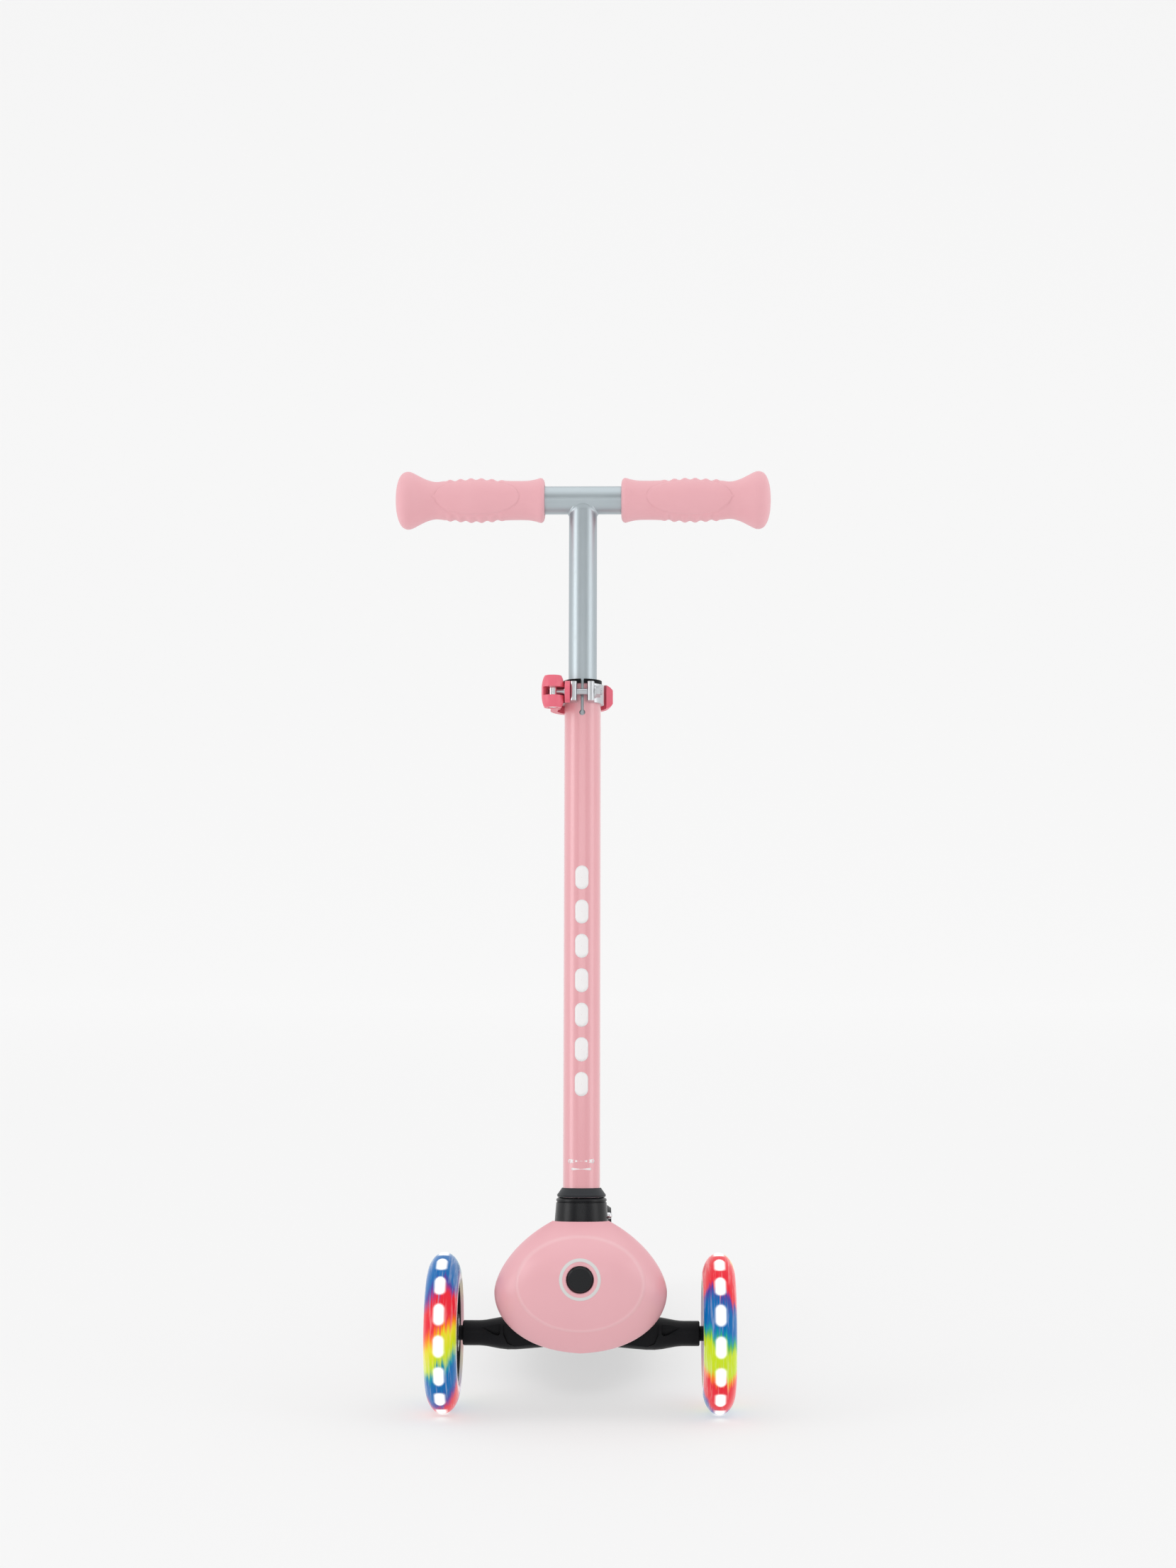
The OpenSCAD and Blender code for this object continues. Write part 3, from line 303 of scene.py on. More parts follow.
def add_mesh(name, points, faces, material, body, replaces=(), sharp=False):
    """Makes a piece from points and faces, with its material and the body that it rides on."""
    mesh = bpy.data.meshes.new(name)
    mesh.from_pydata([tuple(p) for p in points], [], faces)
    mesh.validate()
    made = bmesh.new()
    made.from_mesh(mesh)
    bmesh.ops.remove_doubles(made, verts=made.verts, dist=1e-6)
    bmesh.ops.recalc_face_normals(made, faces=made.faces)
    made.to_mesh(mesh)
    made.free()
    mesh.polygons.foreach_set("use_smooth", [True] * len(mesh.polygons))
    if sharp:
        mesh.set_sharp_from_angle(angle=math.radians(40))
    mesh.materials.append(material)
    piece = bpy.data.objects.new(name, mesh)
    bpy.context.scene.collection.objects.link(piece)
    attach(piece, body)
    if replaces:
        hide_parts(*replaces)
    return piece


def grid_faces(rows, columns, round_rows=False, round_columns=False):
    """Quads over a grid of points, stored row by row."""
    faces = []
    for i in range(rows if round_rows else rows - 1):
        for j in range(columns if round_columns else columns - 1):
            a, b = i * columns + j, i * columns + (j + 1) % columns
            c, d = ((i + 1) % rows) * columns + (j + 1) % columns, ((i + 1) % rows) * columns + j
            faces.append((a, b, c, d))
    return faces


def step(low, high, value):
    """0 below low, 1 above high, and a smooth rise between."""
    t = np.clip((value - low) / (high - low), 0, 1)
    return t * t * (3 - 2 * t)


def stem_piece():
    """The stem: its top is pinched and blended into the crossbar, its foot is open."""
    foot = (BAR.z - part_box("stem_tube")[0].z) / COLUMN.z - 0.0014
    bore = STEM_R - STEM_WALL
    across = COLUMN.cross(SIDEWAYS).normalized()
    heights = [-foot, -foot + 0.0004]
    heights += list(np.linspace(-foot + 0.01, -0.024, 30))
    heights += list(np.linspace(-0.0235, -0.0036, 60))
    points, around = [], 128
    turns = [2 * math.pi * k / around for k in range(around)]
    for k, height in enumerate(heights):
        pinch = 1 - STEM_PINCH * float(step(-0.0100, -0.0036, height))
        for a in turns:
            below = -STEM_R * abs(math.cos(a)) - height
            fillet = FILLET_SIZE * max(0.0, 1 - max(below, 0.0) / FILLET_REACH) ** 2
            fillet *= abs(math.cos(a)) ** 0.7
            r = STEM_R - (0.0003 if k == 0 else 0)
            flat = SIDEWAYS * math.cos(a) * (r + fillet) + across * math.sin(a) * (r * pinch + fillet)
            points.append(BAR + COLUMN * height + flat)
    bore_rings = ((heights[-1], bore * 0.8), (-0.012, bore), (-foot, bore))
    for height, r in bore_rings:
        for a in turns:
            points.append(BAR + COLUMN * height + (SIDEWAYS * math.cos(a) + across * math.sin(a)) * r)
    faces = grid_faces(len(heights) + len(bore_rings), around, round_rows=True, round_columns=True)
    return add_mesh("stem", points, faces, anodised, "handlebar", replaces=("stem_tube",))


stem_piece()

# ---------------------------------------------------------------- Grips
# Soft pink rubber sleeves, moulded in one piece and pushed over the crossbar. Each has a thin
# flange inside, a smooth palm panel front and back, ribs above and below, and a bulb end.
GRIP_STATIONS = [  # distance from the bulb's end, radius
    (0.1185, 0.0120), (0.1184, 0.0138), (0.1179, 0.0157), (0.1170, 0.0170), (0.1157, 0.0177),
    (0.1140, 0.0175), (0.1110, 0.0166), (0.1045, 0.0156), (0.0935, 0.0155), (0.0835, 0.0159),
    (0.0650, 0.0171), (0.0480, 0.0162), (0.0400, 0.0156), (0.0320, 0.0148), (0.0250, 0.0164),
    (0.0182, 0.0196), (0.0140, 0.0218), (0.0110, 0.0228), (0.0080, 0.0226), (0.0050, 0.0208),
    (0.0025, 0.0165), (0.0008, 0.0098), (0.0, 0.0)]
PANEL_START, PANEL_END = 0.0315, 0.0985
RIB_START, RIB_END, RIB_PITCH = 0.0430, 0.0850, 0.0084
PANEL_RISE, GROOVE_DEPTH, RIB_RISE = 0.00055, 0.00045, 0.0007


def smooth_line(stations, count):
    """Evenly spread points on a smooth line through the stations."""
    given = np.array(stations, float)
    padded = np.vstack([given[0], given, given[-1]])
    points = []
    for i in range(1, len(padded) - 2):
        a, b, c, d = padded[i - 1:i + 3]
        for t in np.linspace(0, 1, 24, endpoint=False):
            points.append(0.5 * (2 * b + (c - a) * t + (2 * a - 5 * b + 4 * c - d) * t ** 2
                                 + (3 * b - a - 3 * c + d) * t ** 3))
    points.append(given[-1])
    points = np.array(points)
    along = np.concatenate([[0], np.cumsum(np.linalg.norm(np.diff(points, axis=0), axis=1))])
    even = np.linspace(0, along[-1], count)
    return np.column_stack([np.interp(even, along, points[:, k]) for k in range(points.shape[1])])


def grip_relief(along, angle):
    """Height of the palm panels and the ribs; angles 0 and 180 degrees face front and back."""
    side = np.abs(np.sin(angle))
    middle = (PANEL_START + PANEL_END) / 2
    reach = np.abs(along - middle) / ((PANEL_END - PANEL_START) / 2)
    half = 0.80 * np.sqrt(np.clip(1 - reach ** 3.2, 0, 1))
    open_end = 0.74 * step(PANEL_START - 0.004, PANEL_START + 0.012, along)
    half = np.where(along < middle, np.maximum(half, open_end), half)
    distance = (side - half) * 0.016
    panel = PANEL_RISE * step(0.0006, -0.0006, distance)
    groove = -GROOVE_DEPTH * np.exp(-(distance / 0.00055) ** 2)
    in_reach = step(PANEL_START - 0.006, PANEL_START + 0.002, along)
    in_reach = in_reach * step(PANEL_END + 0.003, PANEL_END - 0.001, along)
    ribs = RIB_RISE * np.cos(2 * np.pi * (along - RIB_START) / RIB_PITCH)
    in_ribs = step(RIB_START - 0.005, RIB_START, along) * step(RIB_END + 0.004, RIB_END - 0.004, along)
    off_panel = step(0.0004, 0.0024, distance)
    return (panel + groove) * in_reach + ribs * in_ribs * off_panel


rubber = finish_material("pink_rubber", (0.83, 0.425, 0.465), (0.86, 0.47, 0.51), (0.46, 0.58),
                         cloud_scale=60, grain_scale=2400, bump=0.10, rub=0.1, specular=0.35,
                         sheen=0.15)


def grip(name, side):
    """One grip, wound round the crossbar's axis from its stations."""
    line = smooth_line(GRIP_STATIONS, 300)
    around = 168
    forward = COLUMN.cross(SIDEWAYS).normalized()
    points = []
    for along, radius in line:
        angles = np.arange(around) * 2 * math.pi / around
        radii = np.maximum(radius + grip_relief(np.full(around, along), angles), 0)
        x = side * (bar_half - along)
        for a, r in zip(angles, radii):
            points.append(BAR + SIDEWAYS * x + (forward * math.cos(a) + COLUMN * math.sin(a)) * r)
    faces = grid_faces(len(line), around, round_columns=True)
    return add_mesh(f"grip_sleeve_{name}", points, faces, rubber, "handlebar",
                    replaces=(f"grip_{name}",))


bar_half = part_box("grip_right")[1][0]
grip("left", -1)
grip("right", 1)

# ---------------------------------------------------------------- Column tube
# A 28.6 mm steel tube, powder-coated pink. Plain white bars are printed down its front, and two
# thin bands near its foot.
pink_paint = finish_material("pink_powder_coat", (0.80, 0.375, 0.41), (0.83, 0.42, 0.455),
                             (0.26, 0.33), cloud_scale=25, grain_scale=1400, bump=0.10, rub=0.08,
                             coat=1.0)
dress(["column_tube"], pink_paint)
white_print = finish_material("white_print", (0.90, 0.88, 0.88), (0.86, 0.84, 0.84), (0.38, 0.5),
                              grain_scale=1600, bump=0.04, rub=0.1)
FOOT_Z = 0.143
COLUMN_FOOT = BAR - COLUMN * ((BAR.z - FOOT_Z) / COLUMN.z)
COLUMN_R = 0.0143
PRINT_THICK = 0.00006
# Height above the column's foot, length and width of each printed mark
PRINT_MARKS = [(0.106 + 0.0265 * k, 0.0185, 0.0105) for k in range(7)]
PRINT_MARKS += [(0.0475, 0.0032, 0.022), (0.0415, 0.0018, 0.016)]


def printed_mark(name, height, length, width):
    """A thin rounded bar wrapped on the tube's front."""
    forward = COLUMN.cross(SIDEWAYS).normalized() * -1
    end = min(length, width) / 2
    corners, around = [], 48
    for k in range(around):
        a = 2 * math.pi * k / around
        corners.append((math.cos(a) * end + math.copysign(width / 2 - end, math.cos(a)),
                        math.sin(a) * end + math.copysign(length / 2 - end, math.sin(a))))
    points = []
    rings = [(1.0, 0.00001)] + [(shrink, PRINT_THICK) for shrink in (1.0, 0.7, 0.35, 0.02)]
    for shrink, lift in rings:
        for u, v in corners:
            a = u * shrink / COLUMN_R
            out = SIDEWAYS * math.sin(a) + forward * math.cos(a)
            points.append(COLUMN_FOOT + COLUMN * (height + v * shrink) + out * (COLUMN_R + lift))
    faces = grid_faces(len(rings), around, round_columns=True)
    return add_mesh(name, points, faces, white_print, "frame")


for k, (height, length, width) in enumerate(PRINT_MARKS):
    printed_mark(f"column_mark_{k + 1}", height, length, width)

# ---------------------------------------------------------------- Liner and split collar
# A black nylon sleeve takes up the gap between the tubes, and its rim sits on the column's top.
# The extruded aluminium collar closes round it when the bolt draws its two lugs together.
dress(["column_liner"], black_moulded)
tumbled = finish_material("tumbled_aluminium", (0.60, 0.62, 0.64), (0.74, 0.76, 0.78), (0.24, 0.40),
                          cloud_scale=90, grain_scale=3000, bump=0.08, rub=0.5, metallic=1.0)
dress(["clamp_collar", "clamp_nut"], tumbled)
polished = finish_material("polished_steel", (0.74, 0.75, 0.77), (0.66, 0.67, 0.69), (0.08, 0.16),
                           cloud_scale=80, grain_scale=2000, bump=0.01, rub=0.3, metallic=1.0)
dress(["clamp_barrel", "snap_button"], polished)
dress(["clamp_bolt"], zinc)

# ---------------------------------------------------------------- Clamp lever
# Coral nylon, injection-moulded. Its round head turns on the polished barrel and bears on the
# round cam seat, and its arm wraps round behind the column.
coral = finish_material("coral_nylon", (0.82, 0.135, 0.20), (0.85, 0.19, 0.25), (0.30, 0.42),
                        cloud_scale=60, grain_scale=1600, bump=0.08, rub=0.15, coat=0.1)
dress(["clamp_washer", "clamp_lever"], coral)

# ---------------------------------------------------------------- Head, base ring and snap button
# The head is one glass-filled nylon moulding that holds the column in a deep socket. A softer
# conical ring closes the gap round the tube, and a sprung steel button locks it in.
grey_moulded = finish_material("charcoal_moulded_plastic", (0.019, 0.022, 0.026),
                               (0.034, 0.037, 0.042), (0.38, 0.5), cloud_scale=50, grain_scale=1400,
                               bump=0.10, rub=0.25, specular=0.3)
dress(["base_ring"], grey_moulded)
black_satin = finish_material("black_glass_filled_nylon", (0.005, 0.0055, 0.007),
                              (0.011, 0.0115, 0.014), (0.20, 0.30), cloud_scale=40,
                              grain_scale=1500, bump=0.10, rub=0.3, specular=0.30)
dress(["head_housing", "lock_button"], black_satin)
dress(["snap_clip", "cover_screws", "lock_plunger", "lock_spring"], zinc)

# ---------------------------------------------------------------- Front cover
# An egg-shaped shield in pink ABS, injection-moulded with a low bead round a shallow raised field
# and a round opening for the lock button. A plain grey ring is printed round the opening.
gloss_pink = finish_material("pink_abs", (0.82, 0.43, 0.47), (0.85, 0.48, 0.515), (0.30, 0.38),
                             cloud_scale=20, grain_scale=1500, bump=0.03, rub=0.05, coat=0.1)
nodes, links = gloss_pink.node_tree.nodes, gloss_pink.node_tree.links
COVER_LOW, COVER_HIGH, COVER_WIDE, COVER_HALF = 0.051, 0.1486, 0.096, 0.0653
LOCK_Z = 0.110
FIELD_Z, FIELD_HALF_W, FIELD_HALF_H = 0.105, 0.0475, 0.0347
OPENING_R = 0.01025
COVER_WALL = 0.0026
RING_INNER, RING_OUTER, RING_THICK = 0.0132, 0.0156, 0.00007
POST_R, POST_BORE, POST_BACK = 0.0036, 0.0015, -0.012
POST_PLACES = [(-0.0243, 0.117), (0.0243, 0.117), (-0.0243, 0.099), (0.0243, 0.099)]
TUBE_R, TUBE_FRONT, TUBE_BACK, TUBE_FLOOR = 0.0128, -0.0465, -0.030, 0.002
PIN_HOLE_R = 0.00155
EDGE_CUT = 0.0003


def distance_of(nodes, links, first, second):
    """The length of the slant across two sides."""
    squares = [maths(nodes, links, "MULTIPLY", side, side) for side in (first, second)]
    return maths(nodes, links, "SQRT", maths(nodes, links, "ADD", *squares))


# Painted highlight: a lighter line is painted along the bead round the field, where a lit ridge would catch the
# light. Painted shade: outside the field the colour is painted darker, most towards the top.
split = nodes.new("ShaderNodeSeparateXYZ")
links.new(nodes.new("ShaderNodeTexCoord").outputs["Object"], split.inputs["Vector"])
across = maths(nodes, links, "DIVIDE", split.outputs["X"], FIELD_HALF_W)
above = maths(nodes, links, "SUBTRACT", split.outputs["Z"], FIELD_Z)
above = maths(nodes, links, "DIVIDE", above, FIELD_HALF_H)
reach = distance_of(nodes, links, across, above)
off = maths(nodes, links, "ABSOLUTE", maths(nodes, links, "SUBTRACT", reach, 1.0))
# Painted highlight along the bead, mixed towards (0.90, 0.62, 0.64) below
line = spread(nodes, links, off, 0.055, 0.0, 0.0, 0.30, "SMOOTHERSTEP")
# Painted shade outside the field, weighted towards the top, mixed towards (0.74, 0.33, 0.375) below
painted_shade_outside = spread(nodes, links, reach, 1.00, 1.45, 0.0, 0.75, "SMOOTHSTEP")
painted_shade_towards_top = spread(nodes, links, above, -0.6, 0.7, 0.0, 1.0, "SMOOTHSTEP")
cover_colour = nodes["Principled BSDF"].inputs["Base Color"]
moulded = cover_colour.links[0].from_socket
painted_shade_colour = mix_colour(nodes, links, maths(nodes, links, "MULTIPLY", painted_shade_outside, painted_shade_towards_top), moulded,
                   (0.74, 0.33, 0.375, 1))
links.new(mix_colour(nodes, links, line, painted_shade_colour, (0.90, 0.62, 0.64, 1)), cover_colour)


def cover_half(z):
    """Half width of the cover at height z."""
    low = np.sqrt(np.clip(1 - ((COVER_WIDE - z) / (COVER_WIDE - COVER_LOW)) ** 2, 0, 1))
    high = np.clip(1 - (np.clip(z - COVER_WIDE, 0, 1) / 0.060) ** 1.7, 0, 1) ** 0.7
    return COVER_HALF * np.where(z < COVER_WIDE, low, high)


def cover_face(x, z):
    """Depth of the cover's outer face, from the front axle."""
    t = np.clip((z - COVER_LOW) / (COVER_HIGH - COVER_LOW), 0, 1)
    rim = -0.026 + 0.012 * t * t * (3 - 2 * t)
    low = -0.048 + 0.020 * (np.clip(LOCK_Z - z, 0, 1) / (LOCK_Z - COVER_LOW)) ** 2.4
    high = -0.048 + 0.029 * (np.clip(z - LOCK_Z, 0, 1) / (COVER_HIGH - LOCK_Z)) ** 2.2
    crest = np.where(z < LOCK_Z, low, high)
    u = np.clip(np.abs(x) / np.maximum(cover_half(z), 1e-6), 0, 1)
    bare = rim + (crest - rim) * np.clip(1 - u ** 2.4, 0, 1) ** 0.55
    outside = (np.sqrt((x / FIELD_HALF_W) ** 2 + ((z - FIELD_Z) / FIELD_HALF_H) ** 2) - 1) * 0.040
    ridge = 0.00055 * np.exp(-(outside / 0.0010) ** 2)
    field = 0.00045 * step(0.0006, -0.0016, outside)
    from_opening = np.hypot(x, z - LOCK_Z) - OPENING_R
    lip = 0.0007 * np.exp(-(np.clip(from_opening, 0, 1) / 0.0005) ** 2)
    return bare - ridge - field + lip


def cover_reach(angle):
    """Distance from the lock button's centre to the cover's edge in a direction."""
    near, far = 0.0, 0.1
    for _ in range(40):
        middle = (near + far) / 2
        x, z = middle * math.cos(angle), LOCK_Z + middle * math.sin(angle)
        inside = COVER_LOW < z < COVER_HIGH and abs(x) < float(cover_half(np.array(z)))
        near, far = (middle, far) if inside else (near, middle)
    return near


def face_ring(angles, r, lift=0.0):
    """A ring of points on the face, at a distance from the lock button's centre."""
    x, z = r * np.cos(angles), LOCK_Z + r * np.sin(angles)
    return np.column_stack([x, AXLE_Y + cover_face(x, z) - lift, z])


def drawn_in(ring, size, back):
    """A ring scaled about the lock button's centre line and moved back."""
    middle = np.array([0, 0, LOCK_Z])
    return middle * (1 - size) + ring * np.array([size, 1, size]) + np.array([0, back, 0])


def cover_piece():
    """The whole shell: face, rolled edge, inside, and the wall of the opening."""
    around = 400
    angles = np.arange(around) * 2 * math.pi / around
    reaches = np.array([cover_reach(a) for a in angles])
    fractions = 1 - (1 - np.linspace(0, 1, 110)) ** 1.7
    face = [face_ring(angles, OPENING_R + (reaches - OPENING_R) * f) for f in fractions]
    rings = [drawn_in(face[0], 1.0, 0.006), drawn_in(face[0], 1.0, 0.001)] + face
    for size, back in ((0.999, 0.0005), (0.985, 0.0009), (0.962, 0.0008)):
        rings.append(drawn_in(face[-1], size, back))
    rings += [drawn_in(ring, 0.962, COVER_WALL) for ring in reversed(face[8:-3:4])]
    rings += [drawn_in(face[0], 1.22, 0.0035), drawn_in(face[0], 1.22, 0.006)]
    faces = grid_faces(len(rings), around, round_rows=True, round_columns=True)
    return add_mesh("front_cover_shell", np.vstack(rings), faces, gloss_pink, "frame")


def cover_ring(name, inner, outer, material):
    """A printed ring that follows the face."""
    around = 200
    angles = np.arange(around) * 2 * math.pi / around
    rings = [face_ring(angles, inner)]
    rings += [face_ring(angles, r, RING_THICK) for r in np.linspace(inner, outer, 9)]
    rings.append(face_ring(angles, outer))
    faces = grid_faces(len(rings), around, round_columns=True)
    return add_mesh(name, np.vstack(rings), faces, material, "frame")


def add_turned(points, faces, x, z, outline, around=48):
    """Adds a hollow shape, turned about a line from front to back, to the points and faces."""
    base = len(points)
    for r, y in outline:
        for k in range(around):
            a = 2 * math.pi * k / around
            points.append((x + r * math.cos(a), AXLE_Y + y, z + r * math.sin(a)))
    faces.extend(tuple(base + v for v in f) for f in grid_faces(len(outline), around, True, True))


def cover_posts():
    """The four screw posts and the tube behind the button, all moulded with the shell."""
    points, faces = [], []
    places = []
    for x, z in POST_PLACES:
        start = float(cover_face(np.array(x), np.array(z))) + 0.0016
        places.append((x, z, POST_R, POST_BORE, start, POST_BACK))
    places.append((0, LOCK_Z, TUBE_R, OPENING_R, TUBE_FRONT, TUBE_BACK))
    for x, z, r, bore, start, back in places:
        add_turned(points, faces, x, z, [
            (bore, start), (r, start), (r, back - EDGE_CUT), (r - EDGE_CUT, back),
            (bore + EDGE_CUT, back), (bore, back - EDGE_CUT)])
    # Floor of the tube, with the hole for the pin
    floor = TUBE_BACK + TUBE_FLOOR
    add_turned(points, faces, 0, LOCK_Z, [
        (PIN_HOLE_R, TUBE_BACK), (TUBE_R, TUBE_BACK), (TUBE_R, floor), (PIN_HOLE_R, floor)])
    return add_mesh("front_cover_posts", points, faces, gloss_pink, "frame",
                    sharp=True)


grey_print = finish_material("grey_print", (0.70, 0.69, 0.68), (0.64, 0.63, 0.62), (0.4, 0.5),
                             grain_scale=1600, bump=0.04, rub=0.1)
shell = cover_piece()
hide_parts("front_cover")
cover_posts()
cover_ring("front_cover_ring", RING_INNER, RING_OUTER, grey_print)

# ---------------------------------------------------------------- Truck
# One glass-filled nylon moulding with two drooping arms. It tilts on a bolt through the deck's
# nose between two red urethane bushings, and carries the front axles in its arm ends.
dress(["truck_body", "front_spacers"], black_moulded)
dress(["kingpin", "kingpin_nut", "front_axles"], zinc)
white_nylon = finish_material("white_nylon", (0.72, 0.71, 0.66), (0.66, 0.64, 0.58), (0.4, 0.5))
dress(["pivot_sleeves"], white_nylon)
red_urethane = finish_material("red_urethane", (0.42, 0.02, 0.03), (0.46, 0.05, 0.06),
                               (0.25, 0.35))
dress(["steering_bushings"], red_urethane)

# ---------------------------------------------------------------- Front wheels
# Clear urethane treads with rainbow pigment swirled into them, cast round dark spoked nylon cores.
# White light windows sit in the tread, and each wheel turns on two shielded bearings.
TYRE_R, TYRE_HALF, TYRE_CROWN, CORE_R = 0.0605, 0.0125, 0.018, 0.0395
TYRE_HEEL = [(CORE_R, TYRE_HALF - 0.002), (CORE_R + 0.0002, TYRE_HALF - 0.0012),
             (CORE_R + 0.0015, TYRE_HALF)]
FLANK_TOP, FLANK_FOOT = 0.0465, 0.0430
LIGHT_COUNT, LIGHT_TURN, LIGHT_L, LIGHT_W = 16, -2.0, 0.014, 0.0059
LIGHT_STEP = 2 * math.pi / LIGHT_COUNT
LIGHT_FIRST = math.radians(-90.0 - LIGHT_TURN)
LIGHT_RISE, LIGHT_SINK = 0.00022, 0.0001
GLOW_OUT, GLOW_IN = 0.0026, 0.0011
BLUE = (0.000, 0.105, 0.32)
PURPLE = (0.06, 0.035, 0.24)
RED = (0.60, 0.016, 0.030)
ORANGE = (0.70, 0.15, 0.01)
YELLOW = (0.60, 0.52, 0.02)
LIME = (0.42, 0.54, 0.01)
GREEN = (0.07, 0.34, 0.06)
TEAL = (0.0, 0.22, 0.28)
# Angle up from dead ahead, over the top and right round, and the pigment there
LEFT_PIGMENT = [
    (-180, RED), (-165, ORANGE), (-150, LIME), (-128, TEAL), (-112, BLUE), (-96, PURPLE),
    (-82, RED), (-60, RED), (-49, PURPLE), (-40, BLUE), (-24, BLUE), (-17, TEAL), (-9, LIME),
    (6, YELLOW), (13, ORANGE), (19, RED), (36, RED), (46, PURPLE), (54, BLUE), (88, BLUE),
    (104, TEAL), (116, LIME), (134, YELLOW), (148, RED), (180, RED)]
RIGHT_PIGMENT = [
    (-180, BLUE), (-160, PURPLE), (-146, RED), (-122, ORANGE), (-108, LIME), (-94, TEAL),
    (-78, BLUE), (-66, PURPLE), (-55, RED), (-30, RED), (-24, ORANGE), (-17, LIME), (1, LIME),
    (6, GREEN), (10, TEAL), (16, BLUE), (32, BLUE), (40, PURPLE), (46, RED), (92, RED),
    (106, YELLOW), (120, LIME), (136, TEAL), (150, BLUE), (180, BLUE)]


def centred(nodes, links, texture, amount):
    """A noise as a swing to either side of nothing."""
    return maths(nodes, links, "MULTIPLY", maths(nodes, links, "SUBTRACT", texture, 0.5), amount)


def tyre_material(name, centre, inward, pigment):
    """Glossy clear urethane with pigment bands round the wheel, and a painted glow: the tread gives off its own
    colour as light, brightest in a white halo round each window.
    """
    made, nodes, links, shader = new_material(name)
    place = nodes.new("ShaderNodeTexCoord").outputs["Object"]
    split = nodes.new("ShaderNodeSeparateXYZ")
    links.new(place, split.inputs["Vector"])
    x = maths(nodes, links, "SUBTRACT", split.outputs["X"], centre.x)
    ahead = maths(nodes, links, "SUBTRACT", centre.y, split.outputs["Y"])
    up = maths(nodes, links, "SUBTRACT", split.outputs["Z"], centre.z)
    angle = maths(nodes, links, "ARCTAN2", up, ahead)
    radius = distance_of(nodes, links, up, ahead)
    # Streaks that run round the tread: the pattern is stretched along the rolling direction
    joined = nodes.new("ShaderNodeCombineXYZ")
    for label, value, stretch in (("X", x, 420.0), ("Y", ahead, 22.0), ("Z", up, 22.0)):
        links.new(maths(nodes, links, "MULTIPLY", value, stretch), joined.inputs[label])
    fine = noise(nodes, links, joined.outputs["Vector"], 1.6, 3.0, 0.6)
    broad = noise(nodes, links, joined.outputs["Vector"], 0.45, 2.0)
    fine_shift = centred(nodes, links, fine.outputs["Fac"], 0.42)
    broad_shift = centred(nodes, links, broad.outputs["Fac"], 0.55)
    lean = maths(nodes, links, "MULTIPLY", x, inward * -12.0)
    shifted = maths(nodes, links, "ADD", maths(nodes, links, "ADD", angle, lean),
                    maths(nodes, links, "ADD", fine_shift, broad_shift))
    # Wrap into one turn, then look the pigment up
    turn = maths(nodes, links, "MULTIPLY_ADD", shifted, 1 / (2 * math.pi), 0.5)
    ramp = nodes.new("ShaderNodeValToRGB")
    ramp.color_ramp.interpolation = "LINEAR"
    stops = [((degrees + 180) / 360, colour) for degrees, colour in pigment]
    ramp.color_ramp.elements[0].position = stops[0][0]
    ramp.color_ramp.elements[0].color = (*stops[0][1], 1)
    ramp.color_ramp.elements[1].position = stops[-1][0]
    ramp.color_ramp.elements[1].color = (*stops[-1][1], 1)
    for position, colour in stops[1:-1]:
        ramp.color_ramp.elements.new(position).color = (*colour, 1)
    links.new(maths(nodes, links, "FRACT", turn), ramp.inputs["Fac"])
    streak = spread(nodes, links, fine.outputs["Fac"], 0.52, 0.80, 0.0, 0.34)
    streaked = mix_colour(nodes, links, streak, ramp.outputs["Color"], (0.80, 0.72, 0.70, 1))
    # The thin flank by the core holds little pigment
    flank = spread(nodes, links, radius, FLANK_TOP, FLANK_FOOT, 0.0, 1.0, "SMOOTHSTEP")
    body = mix_colour(nodes, links, maths(nodes, links, "MULTIPLY", flank, 0.75), streaked,
                      (0.60, 0.50, 0.53, 1))
    # Distance from the nearest window, and the glow that fades with it
    turns_on = 0.5 - LIGHT_FIRST / LIGHT_STEP + LIGHT_COUNT + 4
    part = maths(nodes, links, "MULTIPLY_ADD", angle, 1 / LIGHT_STEP, turns_on)
    part = maths(nodes, links, "SUBTRACT", maths(nodes, links, "FRACT", part), 0.5)
    along = maths(nodes, links, "MULTIPLY", maths(nodes, links, "ABSOLUTE", part), LIGHT_STEP * TYRE_R)
    beyond = maths(nodes, links, "SUBTRACT", along, (LIGHT_L - LIGHT_W) / 2)
    away = distance_of(nodes, links, maths(nodes, links, "MAXIMUM", beyond, 0.0), x)
    glow = spread(nodes, links, away, LIGHT_W / 2 + GLOW_OUT, LIGHT_W / 2 - GLOW_IN, 0.0, 1.0,
                  "SMOOTHERSTEP")
    # Painted glow: the white halo round each window is painted into the base colour, and the whole tread, pigment
    # bands too, is given off as light at strength 0.42, though the urethane is no lamp.
    lit = mix_colour(nodes, links, glow, body, (1.0, 1.0, 0.98, 1))
    links.new(lit, shader.inputs["Base Color"])
    links.new(lit, shader.inputs["Emission Color"])
    shader.inputs["Emission Strength"].default_value = 0.42
    cloud = noise(nodes, links, place, 70.0)
    roughness = spread(nodes, links, cloud.outputs["Fac"], 0.0, 1.0, 0.12, 0.24)
    links.new(roughness, shader.inputs["Roughness"])
    relief = nodes.new("ShaderNodeBump")
    relief.inputs["Strength"].default_value = 0.05
    relief.inputs["Distance"].default_value = 0.001
    links.new(fine.outputs["Fac"], relief.inputs["Height"])
    links.new(relief.outputs["Normal"], shader.inputs["Normal"])
    shader.inputs["IOR"].default_value = 1.5
    shader.inputs["Specular IOR Level"].default_value = 0.14
    return made


def wheel_point(centre, x, radius, angle):
    """A point at an angle up from dead ahead."""
    return (centre.x + x, centre.y - radius * math.cos(angle), centre.z + radius * math.sin(angle))


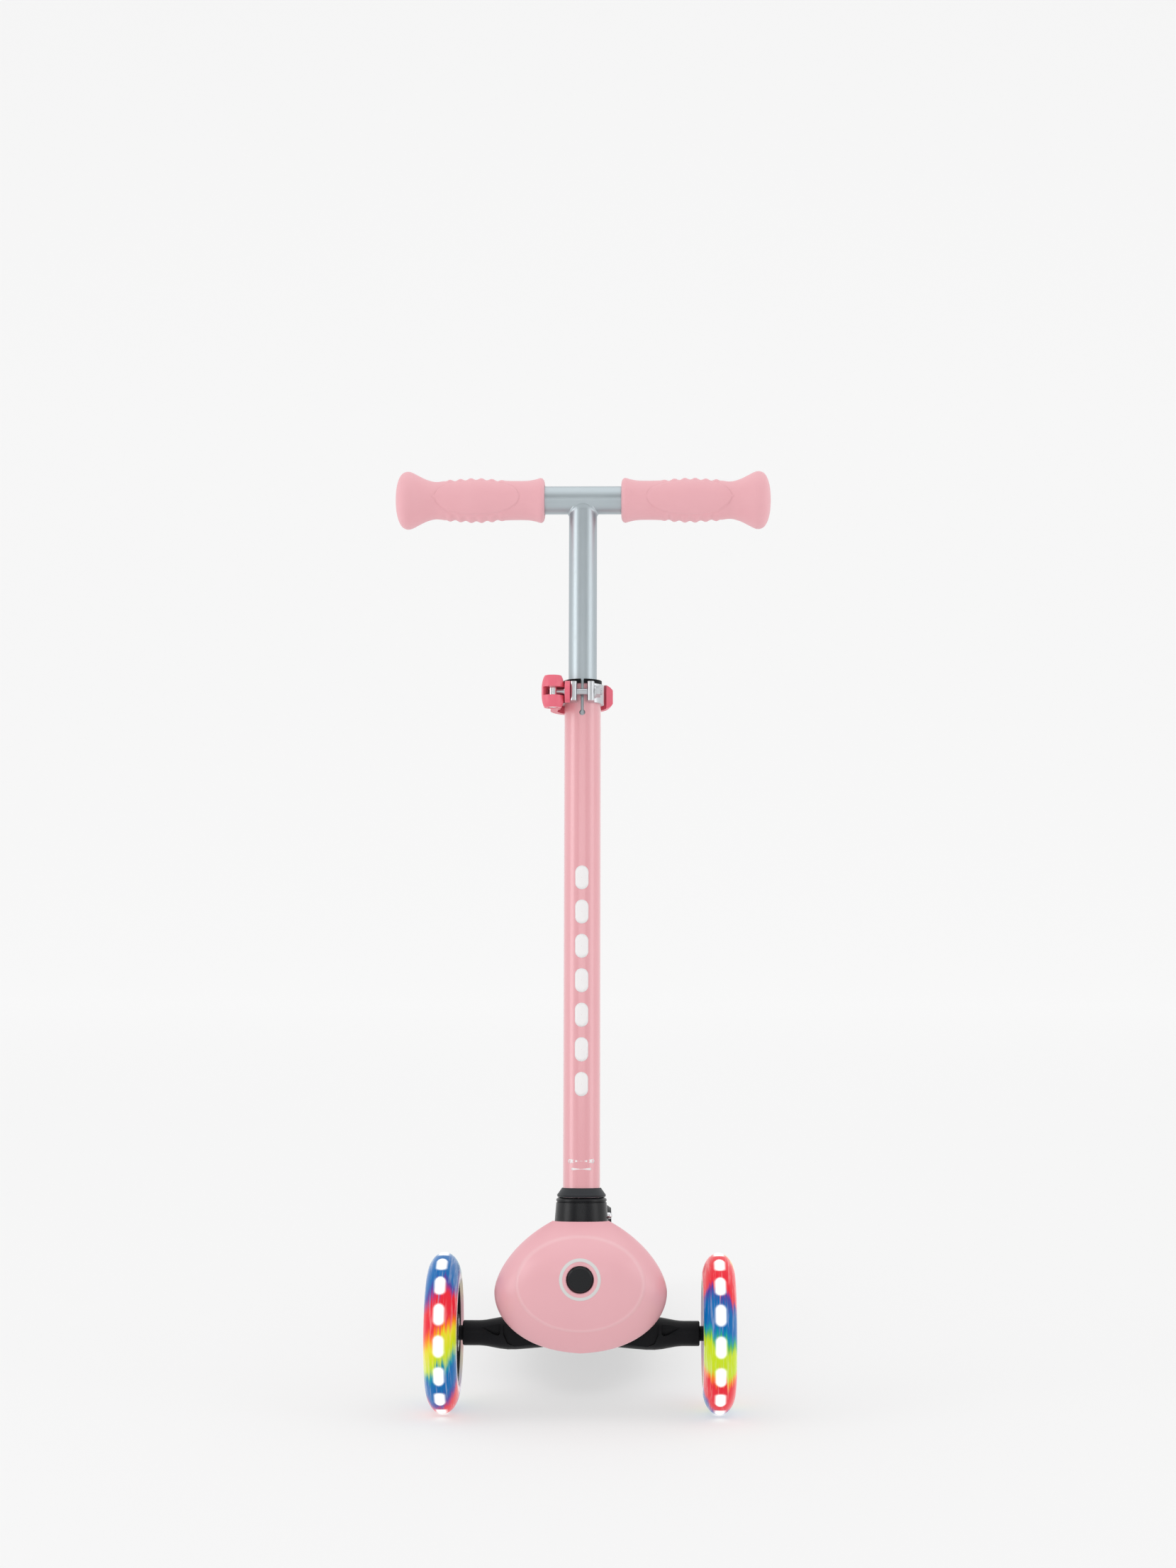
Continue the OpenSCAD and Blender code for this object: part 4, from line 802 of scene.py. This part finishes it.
def tyre_piece(name, centre, material, body, node):
    """The tread, turned from its section."""
    base = TYRE_R - TYRE_CROWN
    section = [(r, -x) for r, x in TYRE_HEEL]
    section += [(base + TYRE_CROWN * math.cos(a), TYRE_HALF * math.sin(a))
                for a in np.linspace(-math.pi / 2, math.pi / 2, 49)]
    section += TYRE_HEEL[::-1]
    around = 288
    points = [wheel_point(centre, x, r, 2 * math.pi * k / around)
              for r, x in section for k in range(around)]
    faces = grid_faces(len(section), around, round_rows=True, round_columns=True)
    return add_mesh(name, points, faces, material, body, replaces=(node,))


def window_piece(name, centre, material, body, node):
    """All of one wheel's windows: low lenses that follow the tread."""
    base = TYRE_R - TYRE_CROWN
    points, faces = [], []
    rings, around = 7, 40
    for i in range(LIGHT_COUNT):
        middle = LIGHT_FIRST + 2 * math.pi * i / LIGHT_COUNT
        start = len(points)
        for j in range(rings):
            grow = math.sin(math.pi / 2 * (j + 0.02) / (rings - 1 + 0.02))
            rise = LIGHT_RISE * math.sqrt(max(1 - grow ** 4, 0)) - LIGHT_SINK
            for k in range(around):
                a = 2 * math.pi * k / around
                end = LIGHT_W / 2
                across = math.cos(a) * end * grow
                along = (math.sin(a) * end + math.copysign(LIGHT_L / 2 - end, math.sin(a))) * grow
                side = math.asin(across / TYRE_HALF)
                r = base + (TYRE_CROWN + rise) * math.cos(side)
                points.append(wheel_point(centre, across, r, middle + along / TYRE_R))
        # The rim goes down into the tread, and the back closes it
        for drop in (0.002, 0.004):
            for k in range(around):
                x, y, z = points[start + (rings - 1) * around + k]
                out = Vector((0, y - centre.y, z - centre.z)).normalized() * drop
                points.append((x, y - out.y, z - out.z))
        faces += [tuple(start + v for v in f) for f in grid_faces(rings + 2, around, round_columns=True)]
        faces.append(tuple(start + k for k in range(around)))
        faces.append(tuple(start + (rings + 1) * around + k for k in range(around)))
    return add_mesh(name, points, faces, material, body, replaces=(node,))


for side, inward, pigment in (("left", 1, LEFT_PIGMENT), ("right", -1, RIGHT_PIGMENT)):
    centre = Vector(joints[f"front_wheel_{side}_spin"]["pos_m"])
    wheel = f"front_wheel_{side}"
    urethane = tyre_material(f"rainbow_urethane_{side}", centre, inward, pigment)
    tyre_piece(f"front_tread_{side}", centre, urethane, wheel, f"front_tyre_{side}")
    window_piece(f"front_windows_{side}", centre, urethane, wheel, f"front_lights_{side}")
dress(["front_core_left", "front_core_right"], grey_moulded)
dress(["front_bearings_left", "front_bearings_right"], zinc)
dress(["front_cap_left", "front_cap_right", "front_magnet_cores"], black_moulded)

# ---------------------------------------------------------------- Deck
# A glass-filled nylon moulding with ribs and cells beneath, and a fork for the rear wheel. A soft
# ribbed rubber pad lies in its top, and screws through the nose hold the head.
deck_rubber = finish_material("pink_pad_rubber", (0.74, 0.34, 0.37), (0.66, 0.31, 0.335),
                              (0.52, 0.66), cloud_scale=35, grain_scale=2200, bump=0.14, rub=0.35,
                              specular=0.3)
dress(["deck_frame"], black_moulded)
dress(["deck_pad"], deck_rubber)
dress(["head_screws"], zinc)

# ---------------------------------------------------------------- Rear wheel and brake
# A pink urethane tread cast round a grey nylon core, on two shielded bearings and a bolt. The
# brake is a nylon fender that two springs hold off the tyre until a foot presses it down.
rear_urethane = finish_material("pink_cast_urethane", (0.76, 0.36, 0.39), (0.80, 0.42, 0.45),
                                (0.28, 0.38), cloud_scale=45, grain_scale=1800, bump=0.06, rub=0.2,
                                coat=0.1)
dress(["rear_tyre"], rear_urethane)
dress(["rear_core", "rear_spacers"], grey_moulded)
dress(["rear_bearings", "rear_axle", "rear_axle_nut", "brake_pin", "brake_springs"], zinc)
dress(["brake_fender"], black_moulded)
